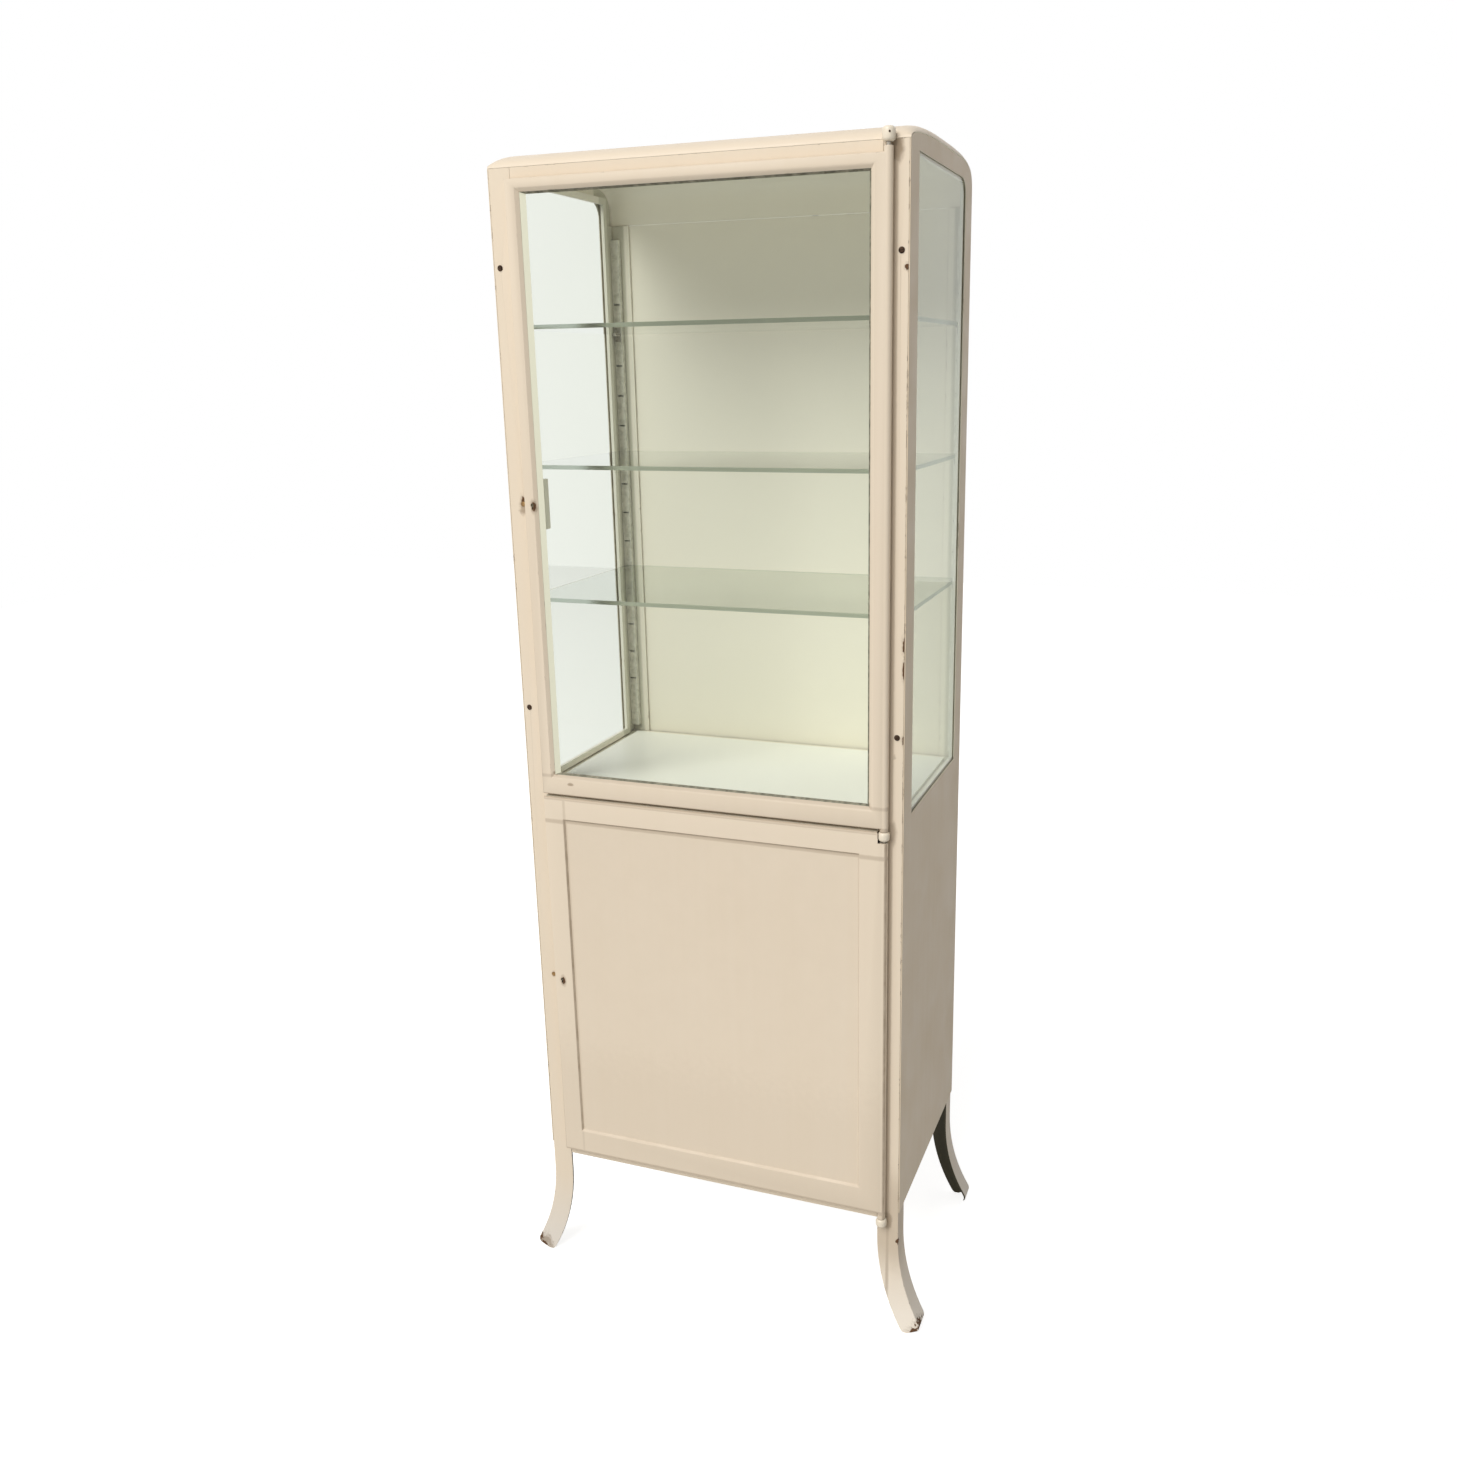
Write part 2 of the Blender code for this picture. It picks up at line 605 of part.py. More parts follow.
def make_upper_frame():
    """Pressed frame of the glazed door: a channel open to the rear, with a rolled edge on the hinge side."""
    outer = (DOOR_LEFT, AXIS_X, UPPER_BOTTOM, UPPER_TOP)
    inner = glass_opening()
    wall = DOOR_SHEET
    bend = 0.4
    profile = [
        (outer, 0.0, DOOR_REAR), (outer, 0.0, DOOR_FRONT + EDGE_ROUND),
        (outer, -EDGE_ROUND * (1 - math.sqrt(0.5)), DOOR_FRONT + EDGE_ROUND * (1 - math.sqrt(0.5))),
        (outer, -EDGE_ROUND, DOOR_FRONT), (inner, GLASS_BEVEL, DOOR_FRONT),
        (inner, 0.0, DOOR_FRONT + GLASS_BEVEL_DEPTH), (inner, 0.0, DOOR_FRONT + GLASS_SEAT),
        (inner, wall, DOOR_FRONT + GLASS_SEAT), (inner, wall, DOOR_FRONT + GLASS_BEVEL_DEPTH + wall * bend),
        (inner, GLASS_BEVEL + wall * bend, DOOR_FRONT + wall), (outer, -wall, DOOR_FRONT + wall),
        (outer, -wall, DOOR_REAR)]
    corners = []
    for pick in range(4):
        corners.append([rectangle(*grown(edges, amount), y)[pick] for edges, amount, y in profile])
    frame = finish("upper_door_frame", loft(bmesh.new(), corners, closed=True), CREAM)
    add_hinge_edge(frame, "upper", MIDDLE_TOP + RUN, TOP_LUG_LOW - BARREL_GAP)
    cut(frame, "upper_keyhole_cutter", keyhole(UPPER_BOTTOM + UPPER_LOCK_RISE, DOOR_FRONT - DOOR_SHEET,
                                               DOOR_FRONT + 2 * DOOR_SHEET))
    return frame


def glass_opening():
    """Left, right, low and high edge of the upper door's glass opening."""
    return (DOOR_LEFT + LOCK_STILE, AXIS_X + HINGE_RADIUS - HINGE_STILE, UPPER_BOTTOM + UPPER_BOTTOM_RAIL,
            UPPER_TOP - UPPER_TOP_RAIL)


def add_hinge_edge(door, label, low, high, notched=False):
    """Rolled hinge edge with a pin bore at each end, cut short under the middle knob."""
    join(door, f"{label}_door_rolled_edge", rod((AXIS_X, AXIS_Y), HINGE_RADIUS, low, high))
    if notched:
        cut(door, f"{label}_door_knob_notch", rod((AXIS_X, AXIS_Y), KNOB_RADIUS + NOTCH_CLEAR, NOTCH_LOW,
                                                  high + KNOB_HEIGHT))
        high = NOTCH_LOW
    depth = PIN_GRIP + RUN
    for end, bottom, top in (("lower", low - KNOB_HEIGHT, low + depth), ("upper", high - depth, high + KNOB_HEIGHT)):
        cut(door, f"{label}_door_{end}_bore", rod((AXIS_X, AXIS_Y), PIN_RADIUS + FIT, bottom, top, sides=16))


def keyhole(level, front, rear):
    """Keyhole cutter: a round hole with a slot below it."""
    outline = []
    reach = KEY_SLOT / 2
    start = math.asin(reach / KEY_RADIUS)
    for step in range(13):
        turn = -math.pi / 2 + start + (2 * math.pi - 2 * start) * step / 12
        outline.append((KEY_X + KEY_RADIUS * math.cos(turn), level + KEY_RADIUS * math.sin(turn)))
    outline += [(KEY_X - reach, level - KEY_SLOT_DROP), (KEY_X + reach, level - KEY_SLOT_DROP)]
    return prism(outline, 1, front, rear)


def make_upper_glazing():
    """Pane of the upper door and the bead that presses it into the frame."""
    left, right, low, high = grown(glass_opening(), GLASS_LAP)
    front = DOOR_FRONT + GLASS_SEAT + FIT
    rear = front + DOOR_GLASS
    pane = finish("upper_door_glass", box((left, front, low), (right, rear, high)), GLASS)
    opening = glass_opening()
    bead_front = rear + FIT
    rings = [rectangle(*grown(opening, amount), y) for amount, y in
             ((0.0, bead_front), (0.0, DOOR_REAR), (DOOR_BEAD_WIDTH, DOOR_REAR), (DOOR_BEAD_WIDTH, bead_front))]
    bead = finish("upper_door_bead", loft(bmesh.new(), rings, closed=True), CREAM)
    return pane, bead


def make_lower_door():
    """Pressed lower door with its sunk panel, and the flat liner that closes it at the back."""
    outer = (DOOR_LEFT, AXIS_X, LOWER_BOTTOM, LOWER_TOP)
    sunk = (DOOR_LEFT + RECESS_LEFT, AXIS_X + HINGE_RADIUS - RECESS_RIGHT, LOWER_BOTTOM + RECESS_BOTTOM,
            LOWER_TOP - RECESS_TOP)
    wall = DOOR_SHEET
    share = 1 - math.sqrt(0.5)
    levels = [
        (sunk, -RECESS_SLOPE, DOOR_FRONT + RECESS_DEPTH), (sunk, 0.0, DOOR_FRONT), (outer, -EDGE_ROUND, DOOR_FRONT),
        (outer, -EDGE_ROUND * share, DOOR_FRONT + EDGE_ROUND * share),
        (outer, 0.0, DOOR_FRONT + EDGE_ROUND), (outer, 0.0, DOOR_REAR), (outer, -wall, DOOR_REAR),
        (outer, -wall, DOOR_FRONT + wall), (sunk, -wall * share, DOOR_FRONT + wall),
        (sunk, -RECESS_SLOPE - wall * share, DOOR_FRONT + RECESS_DEPTH + wall)]
    loops = [rectangle(*grown(edges, amount), y) for edges, amount, y in levels]
    skin = finish("lower_door_panel", loft(bmesh.new(), loops), CREAM)
    add_hinge_edge(skin, "lower", LOW_TOP + RUN, LOWER_TOP, notched=True)
    lock_level = LOWER_BOTTOM + LOWER_LOCK_RISE
    cut(skin, "lower_keyhole_cutter", keyhole(lock_level, DOOR_FRONT - wall, DOOR_FRONT + 2 * wall))

    left, right, low, high = grown(outer, -wall - FIT)
    right = AXIS_X - KNOB_RADIUS - NOTCH_CLEAR
    liner = finish("lower_door_liner", box((left, DOOR_REAR - LINER_SHEET, low), (right, DOOR_REAR, high)), CREAM)
    hole = rod((KEY_X, lock_level), NOZZLE_RADIUS + FIT, DOOR_REAR - 2 * LINER_SHEET, DOOR_REAR + LINER_SHEET,
               axis=1)
    cut(liner, "liner_lock_hole", hole)
    return skin, liner


def make_lock(label, level):
    """Rim lock behind a door: its case with a nozzle to the keyhole, and its sliding bolt."""
    right = LOCK_LEFT + LOCK_WIDTH
    rear = LOCK_FRONT + LOCK_THICK
    case = finish(f"{label}_lock_case", box((LOCK_LEFT, LOCK_FRONT, level - LOCK_HEIGHT / 2),
                                            (right, rear, level + LOCK_HEIGHT / 2)), CREAM)
    nozzle = rod((KEY_X, level), NOZZLE_RADIUS, DOOR_FRONT + NOZZLE_SETBACK, LOCK_FRONT + LOCK_THICK / 4, axis=1)
    join(case, f"{label}_lock_nozzle", nozzle)
    slot_low = (LOCK_LEFT - FIT, BOLT_FRONT - FIT, level - BOLT_HEIGHT / 2 - FIT)
    slot_high = (LOCK_LEFT + FIT + BOLT_LENGTH + FIT, BOLT_FRONT + BOLT_THICK + FIT, level + BOLT_HEIGHT / 2 + FIT)
    cut(case, f"{label}_bolt_slot", box(slot_low, slot_high))
    cut(case, f"{label}_key_way", keyhole(level, DOOR_FRONT, BOLT_FRONT))
    bolt = finish(f"{label}_lock_bolt", box((LOCK_LEFT + FIT, BOLT_FRONT, level - BOLT_HEIGHT / 2),
                                            (LOCK_LEFT + FIT + BOLT_LENGTH, BOLT_FRONT + BOLT_THICK,
                                             level + BOLT_HEIGHT / 2)), BRASS)
    return case, bolt


def make_strike(label, level, post):
    """Strike plate behind the left post's flange, on a stud whose head shows at the front."""
    lip = -STRIKE_EDGE + STRIKE_SHEET
    outline = [(-STRIKE_EDGE, STRIKE_FRONT), (-FLANGE_EDGE - LOCK_TO_POST, STRIKE_FRONT),
               (-FLANGE_EDGE - LOCK_TO_POST, STRIKE_FRONT + STRIKE_SHEET), (lip, STRIKE_FRONT + STRIKE_SHEET),
               (lip, STRIKE_FRONT + STRIKE_REACH), (-STRIKE_EDGE, STRIKE_FRONT + STRIKE_REACH)]
    strike = finish(f"{label}_strike", prism(outline, 2, level - STRIKE_HEIGHT / 2, level + STRIKE_HEIGHT / 2), BRASS)
    head_back = FRONT - FIT
    stud = turned([(STUD_HEAD_RADIUS * 0.7, head_back - STUD_HEAD), (STUD_HEAD_RADIUS, head_back - STUD_HEAD * 0.4),
                   (STUD_HEAD_RADIUS, head_back), (STUD_RADIUS, head_back),
                   (STUD_RADIUS, STRIKE_FRONT + STRIKE_SHEET / 2)], (-STUD_X, level), axis=1, sides=16)
    join(strike, f"{label}_strike_stud", stud)
    hole = rod((-STUD_X, level), STUD_RADIUS + HOLE_CLEAR, FRONT - POST_WALL, FRONT + 2 * POST_WALL, sides=16, axis=1)
    cut(post, f"{label}_strike_hole", hole)
    return strike


def knuckle(name, low, high, root):
    """Round knuckle on the hinge axis with its root on the right front post, without its bore."""
    waist = KNOB_RADIUS - KNOB_ROUND
    profile = []
    for step in range(5):
        turn = math.pi / 2 * step / 4
        profile.append((waist + KNOB_ROUND * math.sin(turn), low + KNOB_ROUND * (1 - math.cos(turn))))
    profile += [(radius, low + high - z) for radius, z in reversed(profile)]
    part = finish(name, turned(profile, (AXIS_X, AXIS_Y)), CREAM, smooth=True)
    join(part, f"{name}_root", box((AXIS_X - root / 2, AXIS_Y, low + KNOB_ROUND / 2),
                                   (AXIS_X + root / 2, FRONT - FIT, high - KNOB_ROUND / 2)))
    back = KNOB_RADIUS * 2
    cut(part, f"{name}_back", box((AXIS_X - back, FRONT - FIT, low - back), (AXIS_X + back, FRONT + back, high + back)))
    return part


def pin(name, low, high):
    """Straight steel pivot pin on the hinge axis."""
    return finish(name, rod((AXIS_X, AXIS_Y), PIN_RADIUS, low, high, sides=16), STEEL, smooth=True)


def make_hinges():
    """Top lug, the two knobs on the right post, and the pins on which the doors turn."""
    bore = PIN_RADIUS + FIT
    seat = PIN_RADIUS
    lug_high = TOP_LUG_LOW + TOP_LUG_HEIGHT
    lug = knuckle("top_hinge_lug", TOP_LUG_LOW, lug_high, TOP_LUG_WIDTH)
    cut(lug, "top_lug_bore", rod((AXIS_X, AXIS_Y), bore, TOP_LUG_LOW - seat, lug_high - seat, sides=16))
    pin("top_hinge_pin", TOP_LUG_LOW - BARREL_GAP - PIN_GRIP, lug_high - seat - FIT)

    middle_low = MIDDLE_TOP - KNOB_HEIGHT
    middle = knuckle("middle_hinge_knob", middle_low, MIDDLE_TOP, TOP_LUG_WIDTH)
    cut(middle, "middle_knob_bore", rod((AXIS_X, AXIS_Y), bore, middle_low - seat, MIDDLE_TOP + seat, sides=16))
    pin("middle_hinge_pin", NOTCH_LOW - PIN_GRIP, MIDDLE_TOP + RUN + PIN_GRIP)

    low = LOW_TOP - KNOB_HEIGHT
    bottom = knuckle("bottom_hinge_knob", low, LOW_TOP, TOP_LUG_WIDTH)
    cut(bottom, "bottom_knob_bore", rod((AXIS_X, AXIS_Y), bore, low + seat, LOW_TOP + seat, sides=16))
    pin("bottom_hinge_pin", low + seat + FIT, LOW_TOP + RUN + PIN_GRIP)


def make_screws(posts):
    """Dark round-head screws that hold the front shelf rails to the posts."""
    for label, side in (("left", -1), ("right", 1)):
        for height, level in SCREW_LEVELS.items():
            head = FRONT - FIT
            profile = [(SCREW_HEAD_RADIUS * 0.35, head - SCREW_HEAD), (SCREW_HEAD_RADIUS * 0.8, head - SCREW_HEAD * 0.7),
                       (SCREW_HEAD_RADIUS, head - SCREW_HEAD * 0.2), (SCREW_HEAD_RADIUS, head), (SCREW_SHANK, head),
                       (SCREW_SHANK, BED_FRONT + RAIL_DEPTH + SCREW_END)]
            finish(f"{label}_{height}_rail_screw", turned(profile, (side * SCREW_X, level), axis=1, sides=16), DARK,
                   True)
            hole = rod((side * SCREW_X, level), SCREW_SHANK + HOLE_CLEAR, FRONT - POST_WALL, FRONT + 2 * POST_WALL,
                       sides=12, axis=1)
            cut(posts[label], f"{label}_{height}_screw_hole", hole)


def main():
    """Builds the cabinet from the floor up."""
    clear_scene()
    posts = {}
    for label, side in (("left", -1), ("right", 1)):
        posts[label] = make_post(f"{label}_front_post", side, -1, EAVES - FIT)
        make_post(f"{label}_rear_post", side, 1, REAR_EAVES - FIT)
        make_side(label, side)
    make_back()
    make_cover()
    make_angle_rail("front_top_rail", EAVES - FIT - TOP_RAIL_DROP, EAVES - FIT, flange_at_top=False)
    make_angle_rail("front_middle_rail", MID_RAIL_LOW, MID_RAIL_HIGH, flange_at_top=False)
    make_angle_rail("front_bottom_rail", LEG_HEIGHT, LEG_HEIGHT + BOTTOM_RAIL_HEIGHT, flange_at_top=False)
    make_pan("upper_deck", DECK_TOP, MID_RAIL_LOW + POST_WALL + FIT)
    make_pan("cabinet_floor", LEG_HEIGHT + FLOOR_RISE, LEG_HEIGHT + POST_WALL + FIT)
    glass_low = DECK_TOP + FIT
    finish("deck_glass", box((-BEAD_INNER + DECK_GLASS_MARGIN, BED_FRONT + RAIL_DEPTH + DECK_GLASS_MARGIN, glass_low),
                             (BEAD_INNER - DECK_GLASS_MARGIN, BED_REAR - RAIL_DEPTH - DECK_GLASS_MARGIN,
                              glass_low + DECK_GLASS)), GLASS)
    make_shelves()

    frame = make_upper_frame()
    pane, bead = make_upper_glazing()
    upper_level = UPPER_BOTTOM + UPPER_LOCK_RISE
    upper_case, upper_bolt = make_lock("upper", upper_level)
    skin, liner = make_lower_door()
    lower_level = LOWER_BOTTOM + LOWER_LOCK_RISE
    lower_case, lower_bolt = make_lock("lower", lower_level)
    make_strike("upper", upper_level, posts["left"])
    make_strike("lower", lower_level, posts["left"])
    make_hinges()
    make_screws(posts)

    upper = [frame, pane, bead, upper_case, upper_bolt]
    hang(upper, "upper_door_pivot", (AXIS_X, AXIS_Y, (UPPER_BOTTOM + UPPER_TOP) / 2))
    lower = [skin, liner, lower_case, lower_bolt]
    hang(lower, "lower_door_pivot", (AXIS_X, AXIS_Y, (LOWER_BOTTOM + LOWER_TOP) / 2))


if __name__ == "__main__":
    main()
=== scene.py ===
"""Looks of a free-standing medical cabinet of enamelled steel and glass.

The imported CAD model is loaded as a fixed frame. This file dresses its sheet steel, glass and fittings,
adds the pieces that only the looks need, and sets up the studio and the camera. Metres, +Z up, and the doors
face -Y.
"""

import logging
import math
from dataclasses import dataclass, field
from enum import Enum

import bmesh
import bpy
from mathutils import Matrix, Vector


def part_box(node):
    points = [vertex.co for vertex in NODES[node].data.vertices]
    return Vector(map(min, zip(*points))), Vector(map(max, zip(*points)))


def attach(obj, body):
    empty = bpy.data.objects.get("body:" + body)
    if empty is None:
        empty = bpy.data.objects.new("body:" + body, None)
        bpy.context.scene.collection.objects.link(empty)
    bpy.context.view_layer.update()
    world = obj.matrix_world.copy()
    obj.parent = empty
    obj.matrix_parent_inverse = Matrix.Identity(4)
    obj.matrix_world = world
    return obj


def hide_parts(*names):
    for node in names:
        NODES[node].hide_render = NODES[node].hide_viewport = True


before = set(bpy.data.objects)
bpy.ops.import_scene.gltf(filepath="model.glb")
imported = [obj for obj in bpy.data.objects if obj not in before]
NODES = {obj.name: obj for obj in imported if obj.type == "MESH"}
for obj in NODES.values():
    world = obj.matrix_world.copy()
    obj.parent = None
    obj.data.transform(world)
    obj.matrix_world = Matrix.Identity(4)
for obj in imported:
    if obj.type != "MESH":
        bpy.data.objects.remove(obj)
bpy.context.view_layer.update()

log = logging.getLogger("cabinet")
Colour = tuple[float, float, float]
Place = tuple[float, float, float]


class Body(Enum):
    """The CAD bodies that a piece can ride on."""

    CABINET = "cabinet"
    UPPER_DOOR = "upper_door"
    LOWER_DOOR = "lower_door"


class Slot(Enum):
    """Material slot names kept on each new piece's Part; nothing in this script gives a piece a slot."""

    ENAMEL = "cream_enamel"
    SCREW = "dark_screw"


class Graph:
    """Short calls that add nodes to the tree of one material, world or group."""

    def __init__(self, tree: bpy.types.NodeTree) -> None:
        """Takes hold of a node tree.

        Args:
            tree: the tree that gets the nodes.
        """
        self.tree = tree

    def feed(self, socket: bpy.types.NodeSocket, value: object) -> None:
        """Links a socket to an output, or sets its value.

        Args:
            socket: the input to fill.
            value: an output socket, a number, a vector or a colour.
        """
        if isinstance(value, bpy.types.NodeSocket):
            self.tree.links.new(value, socket)
        elif socket.type == "RGBA" and len(value) == 3:
            socket.default_value = (*value, 1.0)
        else:
            socket.default_value = value

    def add(self, kind: str, settings: dict[str, object] | None = None, **inputs: object) -> bpy.types.Node:
        """Adds a node.

        Args:
            kind: the node's type name without its ShaderNode prefix.
            settings: properties of the node.
            inputs: values or outputs for its named inputs, with _ for a space.

        Returns:
            The new node.
        """
        node = self.tree.nodes.new("ShaderNode" + kind)
        for name, value in (settings or {}).items():
            setattr(node, name, value)
        for name, value in inputs.items():
            self.feed(node.inputs[name.replace("_", " ")], value)
        return node

    def calc(self, operation: str, *values: object, clamp: bool = False) -> bpy.types.NodeSocket:
        """Works out one number.

        Args:
            operation: a Math node's operation.
            values: its operands.
            clamp: whether the result is kept between 0 and 1.

        Returns:
            The result.
        """
        node = self.add("Math", {"operation": operation, "use_clamp": clamp})
        for socket, value in zip(node.inputs, values):
            self.feed(socket, value)
        return node.outputs[0]

    def vector(self, operation: str, *values: object) -> bpy.types.Node:
        """Adds a Vector Math node with its operands.

        Args:
            operation: a Vector Math node's operation.
            values: its operands.

        Returns:
            The node, which has a Vector and a Value output.
        """
        node = self.add("VectorMath", {"operation": operation})
        for socket, value in zip(node.inputs, values):
            self.feed(socket, value)
        return node

    def spread(self, value: object, low: float, high: float, start: float = 0.0, end: float = 1.0,
               smooth: bool = False) -> bpy.types.NodeSocket:
        """Maps a range of a number onto another, and holds it there.

        Args:
            value: the number.
            low: the value that becomes start.
            high: the value that becomes end.
            start: first end of the result.
            end: other end of the result.
            smooth: whether the ends are eased.

        Returns:
            The mapped number.
        """
        kind = "SMOOTHSTEP" if smooth else "LINEAR"
        node = self.add("MapRange", {"interpolation_type": kind, "clamp": True}, Value=value, From_Min=low,
                        From_Max=high, To_Min=start, To_Max=end)
        return node.outputs["Result"]

    def blend(self, share: object, one: object, other: object, how: str = "MIX") -> bpy.types.NodeSocket:
        """Mixes two colours.

        Args:
            share: how much of the other colour shows.
            one: the first colour.
            other: the other colour.
            how: the blend type.

        Returns:
            The mixed colour.
        """
        node = self.add("Mix", {"data_type": "RGBA", "blend_type": how})
        for index, value in ((0, share), (6, one), (7, other)):
            self.feed(node.inputs[index], value)
        return node.outputs[2]

    def noise(self, place: object, scale: float, detail: float = 2.0, rough: float = 0.5,
              warp: float = 0.0) -> bpy.types.NodeSocket:
        """Adds a noise pattern.

        Args:
            place: coordinates in metres.
            scale: features per metre.
            detail: octaves.
            rough: share of the finer octaves.
            warp: distortion.

        Returns:
            The noise as a number about 0.5.
        """
        node = self.add("TexNoise", None, Vector=place, Scale=scale, Detail=detail, Roughness=rough,
                        Distortion=warp)
        return node.outputs["Fac"]

    def coordinates(self, stretch: Place = (1.0, 1.0, 1.0)) -> bpy.types.NodeSocket:
        """Object coordinates, stretched by a Mapping node."""
        source = self.add("TexCoord").outputs["Object"]
        return self.add("Mapping", None, Vector=source, Scale=stretch).outputs["Vector"]

    def axis(self, place: object, name: str) -> bpy.types.NodeSocket:
        """One axis of a vector, as a number."""
        return self.add("SeparateXYZ", None, Vector=place).outputs[name]

    def surface_normal(self) -> bpy.types.NodeSocket:
        """The direction that the surface faces, in object coordinates."""
        return self.add("TexCoord").outputs["Normal"]

    def emboss(self, shader: bpy.types.Node, height: bpy.types.NodeSocket, strength: float,
               depth: float) -> None:
        """Gives a shader the relief of a pattern.

        Args:
            shader: the shader that gets the relief.
            height: the pattern.
            strength: how strongly it shows.
            depth: how deep it is, in metres.
        """
        bump = self.add("Bump", None, Strength=strength, Distance=depth, Height=height)
        self.feed(shader.inputs["Normal"], bump.outputs["Normal"])

    def place_group(self, group: bpy.types.NodeTree, **inputs: object) -> bpy.types.Node:
        """Places a node group with its own values.

        Args:
            group: the shared group.
            inputs: values for its inputs, with _ for a space.

        Returns:
            The group's node.
        """
        node = self.add("Group", {"node_tree": group})
        for name, value in inputs.items():
            self.feed(node.inputs[name.replace("_", " ")], value)
        return node


class SharedEffects:
    """Node groups that more than one finish uses, each built once."""

    def __init__(self) -> None:
        """Builds every group."""
        self.worn_edge = self.make_worn_edge()
        self.crevice_dirt_and_shade = self.make_crevice_dirt_and_shade()
        self.spot = self.make_spot()
        self.brushed_paint = self.make_brushed_paint()

    @staticmethod
    def start(name: str, inputs: dict[str, object], outputs: tuple[str, ...]) -> tuple[
            bpy.types.NodeTree, Graph, bpy.types.Node, bpy.types.Node]:
        """Starts a group.

        Args:
            name: the group's name.
            inputs: default value for each named input; a tuple makes a vector.
            outputs: names of the outputs, which are numbers.

        Returns:
            The group, its graph, its input node and its output node.
        """
        group = bpy.data.node_groups.new(name, "ShaderNodeTree")
        for label, value in inputs.items():
            kind = "NodeSocketVector" if isinstance(value, tuple) else "NodeSocketFloat"
            socket = group.interface.new_socket(label, in_out="INPUT", socket_type=kind)
            socket.default_value = value
        for label in outputs:
            group.interface.new_socket(label, in_out="OUTPUT", socket_type="NodeSocketFloat")
        return group, Graph(group), group.nodes.new("NodeGroupInput"), group.nodes.new("NodeGroupOutput")

    def make_worn_edge(self) -> bpy.types.NodeTree:
        """Paint worn through in flakes along the outer edges of the steel.

        Returns:
            The finished group.
        """
        group, graph, given, result = self.start(
            "worn_edge", {"Place": (0.0, 0.0, 0.0), "Radius": 0.002, "Flakes": 60.0, "Wear": 0.4},
            ("Bare", "Thin"))
        rounded = graph.add("Bevel", {"samples": 6}, Radius=given.outputs["Radius"])
        straight = graph.add("NewGeometry").outputs["Normal"]
        turned = graph.vector("DOT_PRODUCT", rounded.outputs["Normal"], straight).outputs["Value"]
        edge = graph.spread(graph.calc("SUBTRACT", 1.0, turned), 0.01, 0.16)
        coarse = graph.noise(given.outputs["Place"], given.outputs["Flakes"], 5.0, 0.62)
        patches = graph.noise(given.outputs["Place"], 7.0, 2.0)
        worn = graph.calc("ADD", coarse, graph.calc("MULTIPLY", patches, 0.5))
        level = graph.calc("SUBTRACT", 1.12, graph.calc("MULTIPLY", given.outputs["Wear"], 0.55))
        over = graph.calc("SUBTRACT", worn, level)
        bare = graph.calc("MULTIPLY", graph.spread(over, 0.0, 0.015), graph.spread(edge, 0.15, 0.5))
        thin = graph.calc("MULTIPLY", graph.spread(over, -0.09, 0.0), edge)
        graph.feed(result.inputs["Bare"], bare)
        graph.feed(result.inputs["Thin"], thin)
        return group

    def make_crevice_dirt_and_shade(self) -> bpy.types.NodeTree:
        """Darkening where ambient occlusion finds corners and joints closed, uneven along its length: partly
        old soiling, partly painted shade.

        Returns:
            The finished group.
        """
        group, graph, given, result = self.start(
            "crevice_shade_and_dirt", {"Place": (0.0, 0.0, 0.0), "Reach": 0.008, "Amount": 0.6}, ("DirtAndShade",))
        shade = graph.add("AmbientOcclusion", {"samples": 8, "only_local": False},
                          Distance=given.outputs["Reach"])
        # closed corners and joints get darker: painted shade, partly soiling
        closed = graph.spread(shade.outputs["AO"], 0.30, 0.86, 1.0, 0.0)
        uneven = graph.spread(graph.noise(given.outputs["Place"], 28.0, 4.0, 0.6), 0.32, 0.66)
        dirt_and_shade = graph.calc("MULTIPLY", closed, graph.calc("MULTIPLY_ADD", uneven, 0.7, 0.3))
        graph.feed(result.inputs["DirtAndShade"], graph.calc("MULTIPLY", dirt_and_shade, given.outputs["Amount"], clamp=True))
        return group

    def make_spot(self) -> bpy.types.NodeTree:
        """One ragged patch at a place, such as a chip, a stain, a rub or a painted shade.

        Returns:
            The finished group.
        """
        group, graph, given, result = self.start(
            "ragged_spot", {"Place": (0.0, 0.0, 0.0), "Centre": (0.0, 0.0, 0.0), "Reach": (0.01, 0.01, 0.01),
                            "Ragged": 0.5, "Grain": 220.0}, ("Spot", "Halo"))
        offset = graph.vector("SUBTRACT", given.outputs["Place"], given.outputs["Centre"]).outputs["Vector"]
        share = graph.vector("DIVIDE", offset, given.outputs["Reach"]).outputs["Vector"]
        distance = graph.vector("LENGTH", share).outputs["Value"]
        grain = graph.noise(given.outputs["Place"], given.outputs["Grain"], 4.0, 0.6)
        ragged = graph.calc("MULTIPLY", graph.calc("SUBTRACT", grain, 0.5), given.outputs["Ragged"])
        torn = graph.calc("ADD", distance, graph.calc("MULTIPLY", ragged, 4.0))
        graph.feed(result.inputs["Spot"], graph.spread(torn, 0.9, 1.0, 1.0, 0.0))
        graph.feed(result.inputs["Halo"], graph.spread(torn, 0.8, 2.0, 1.0, 0.0, smooth=True))
        return group

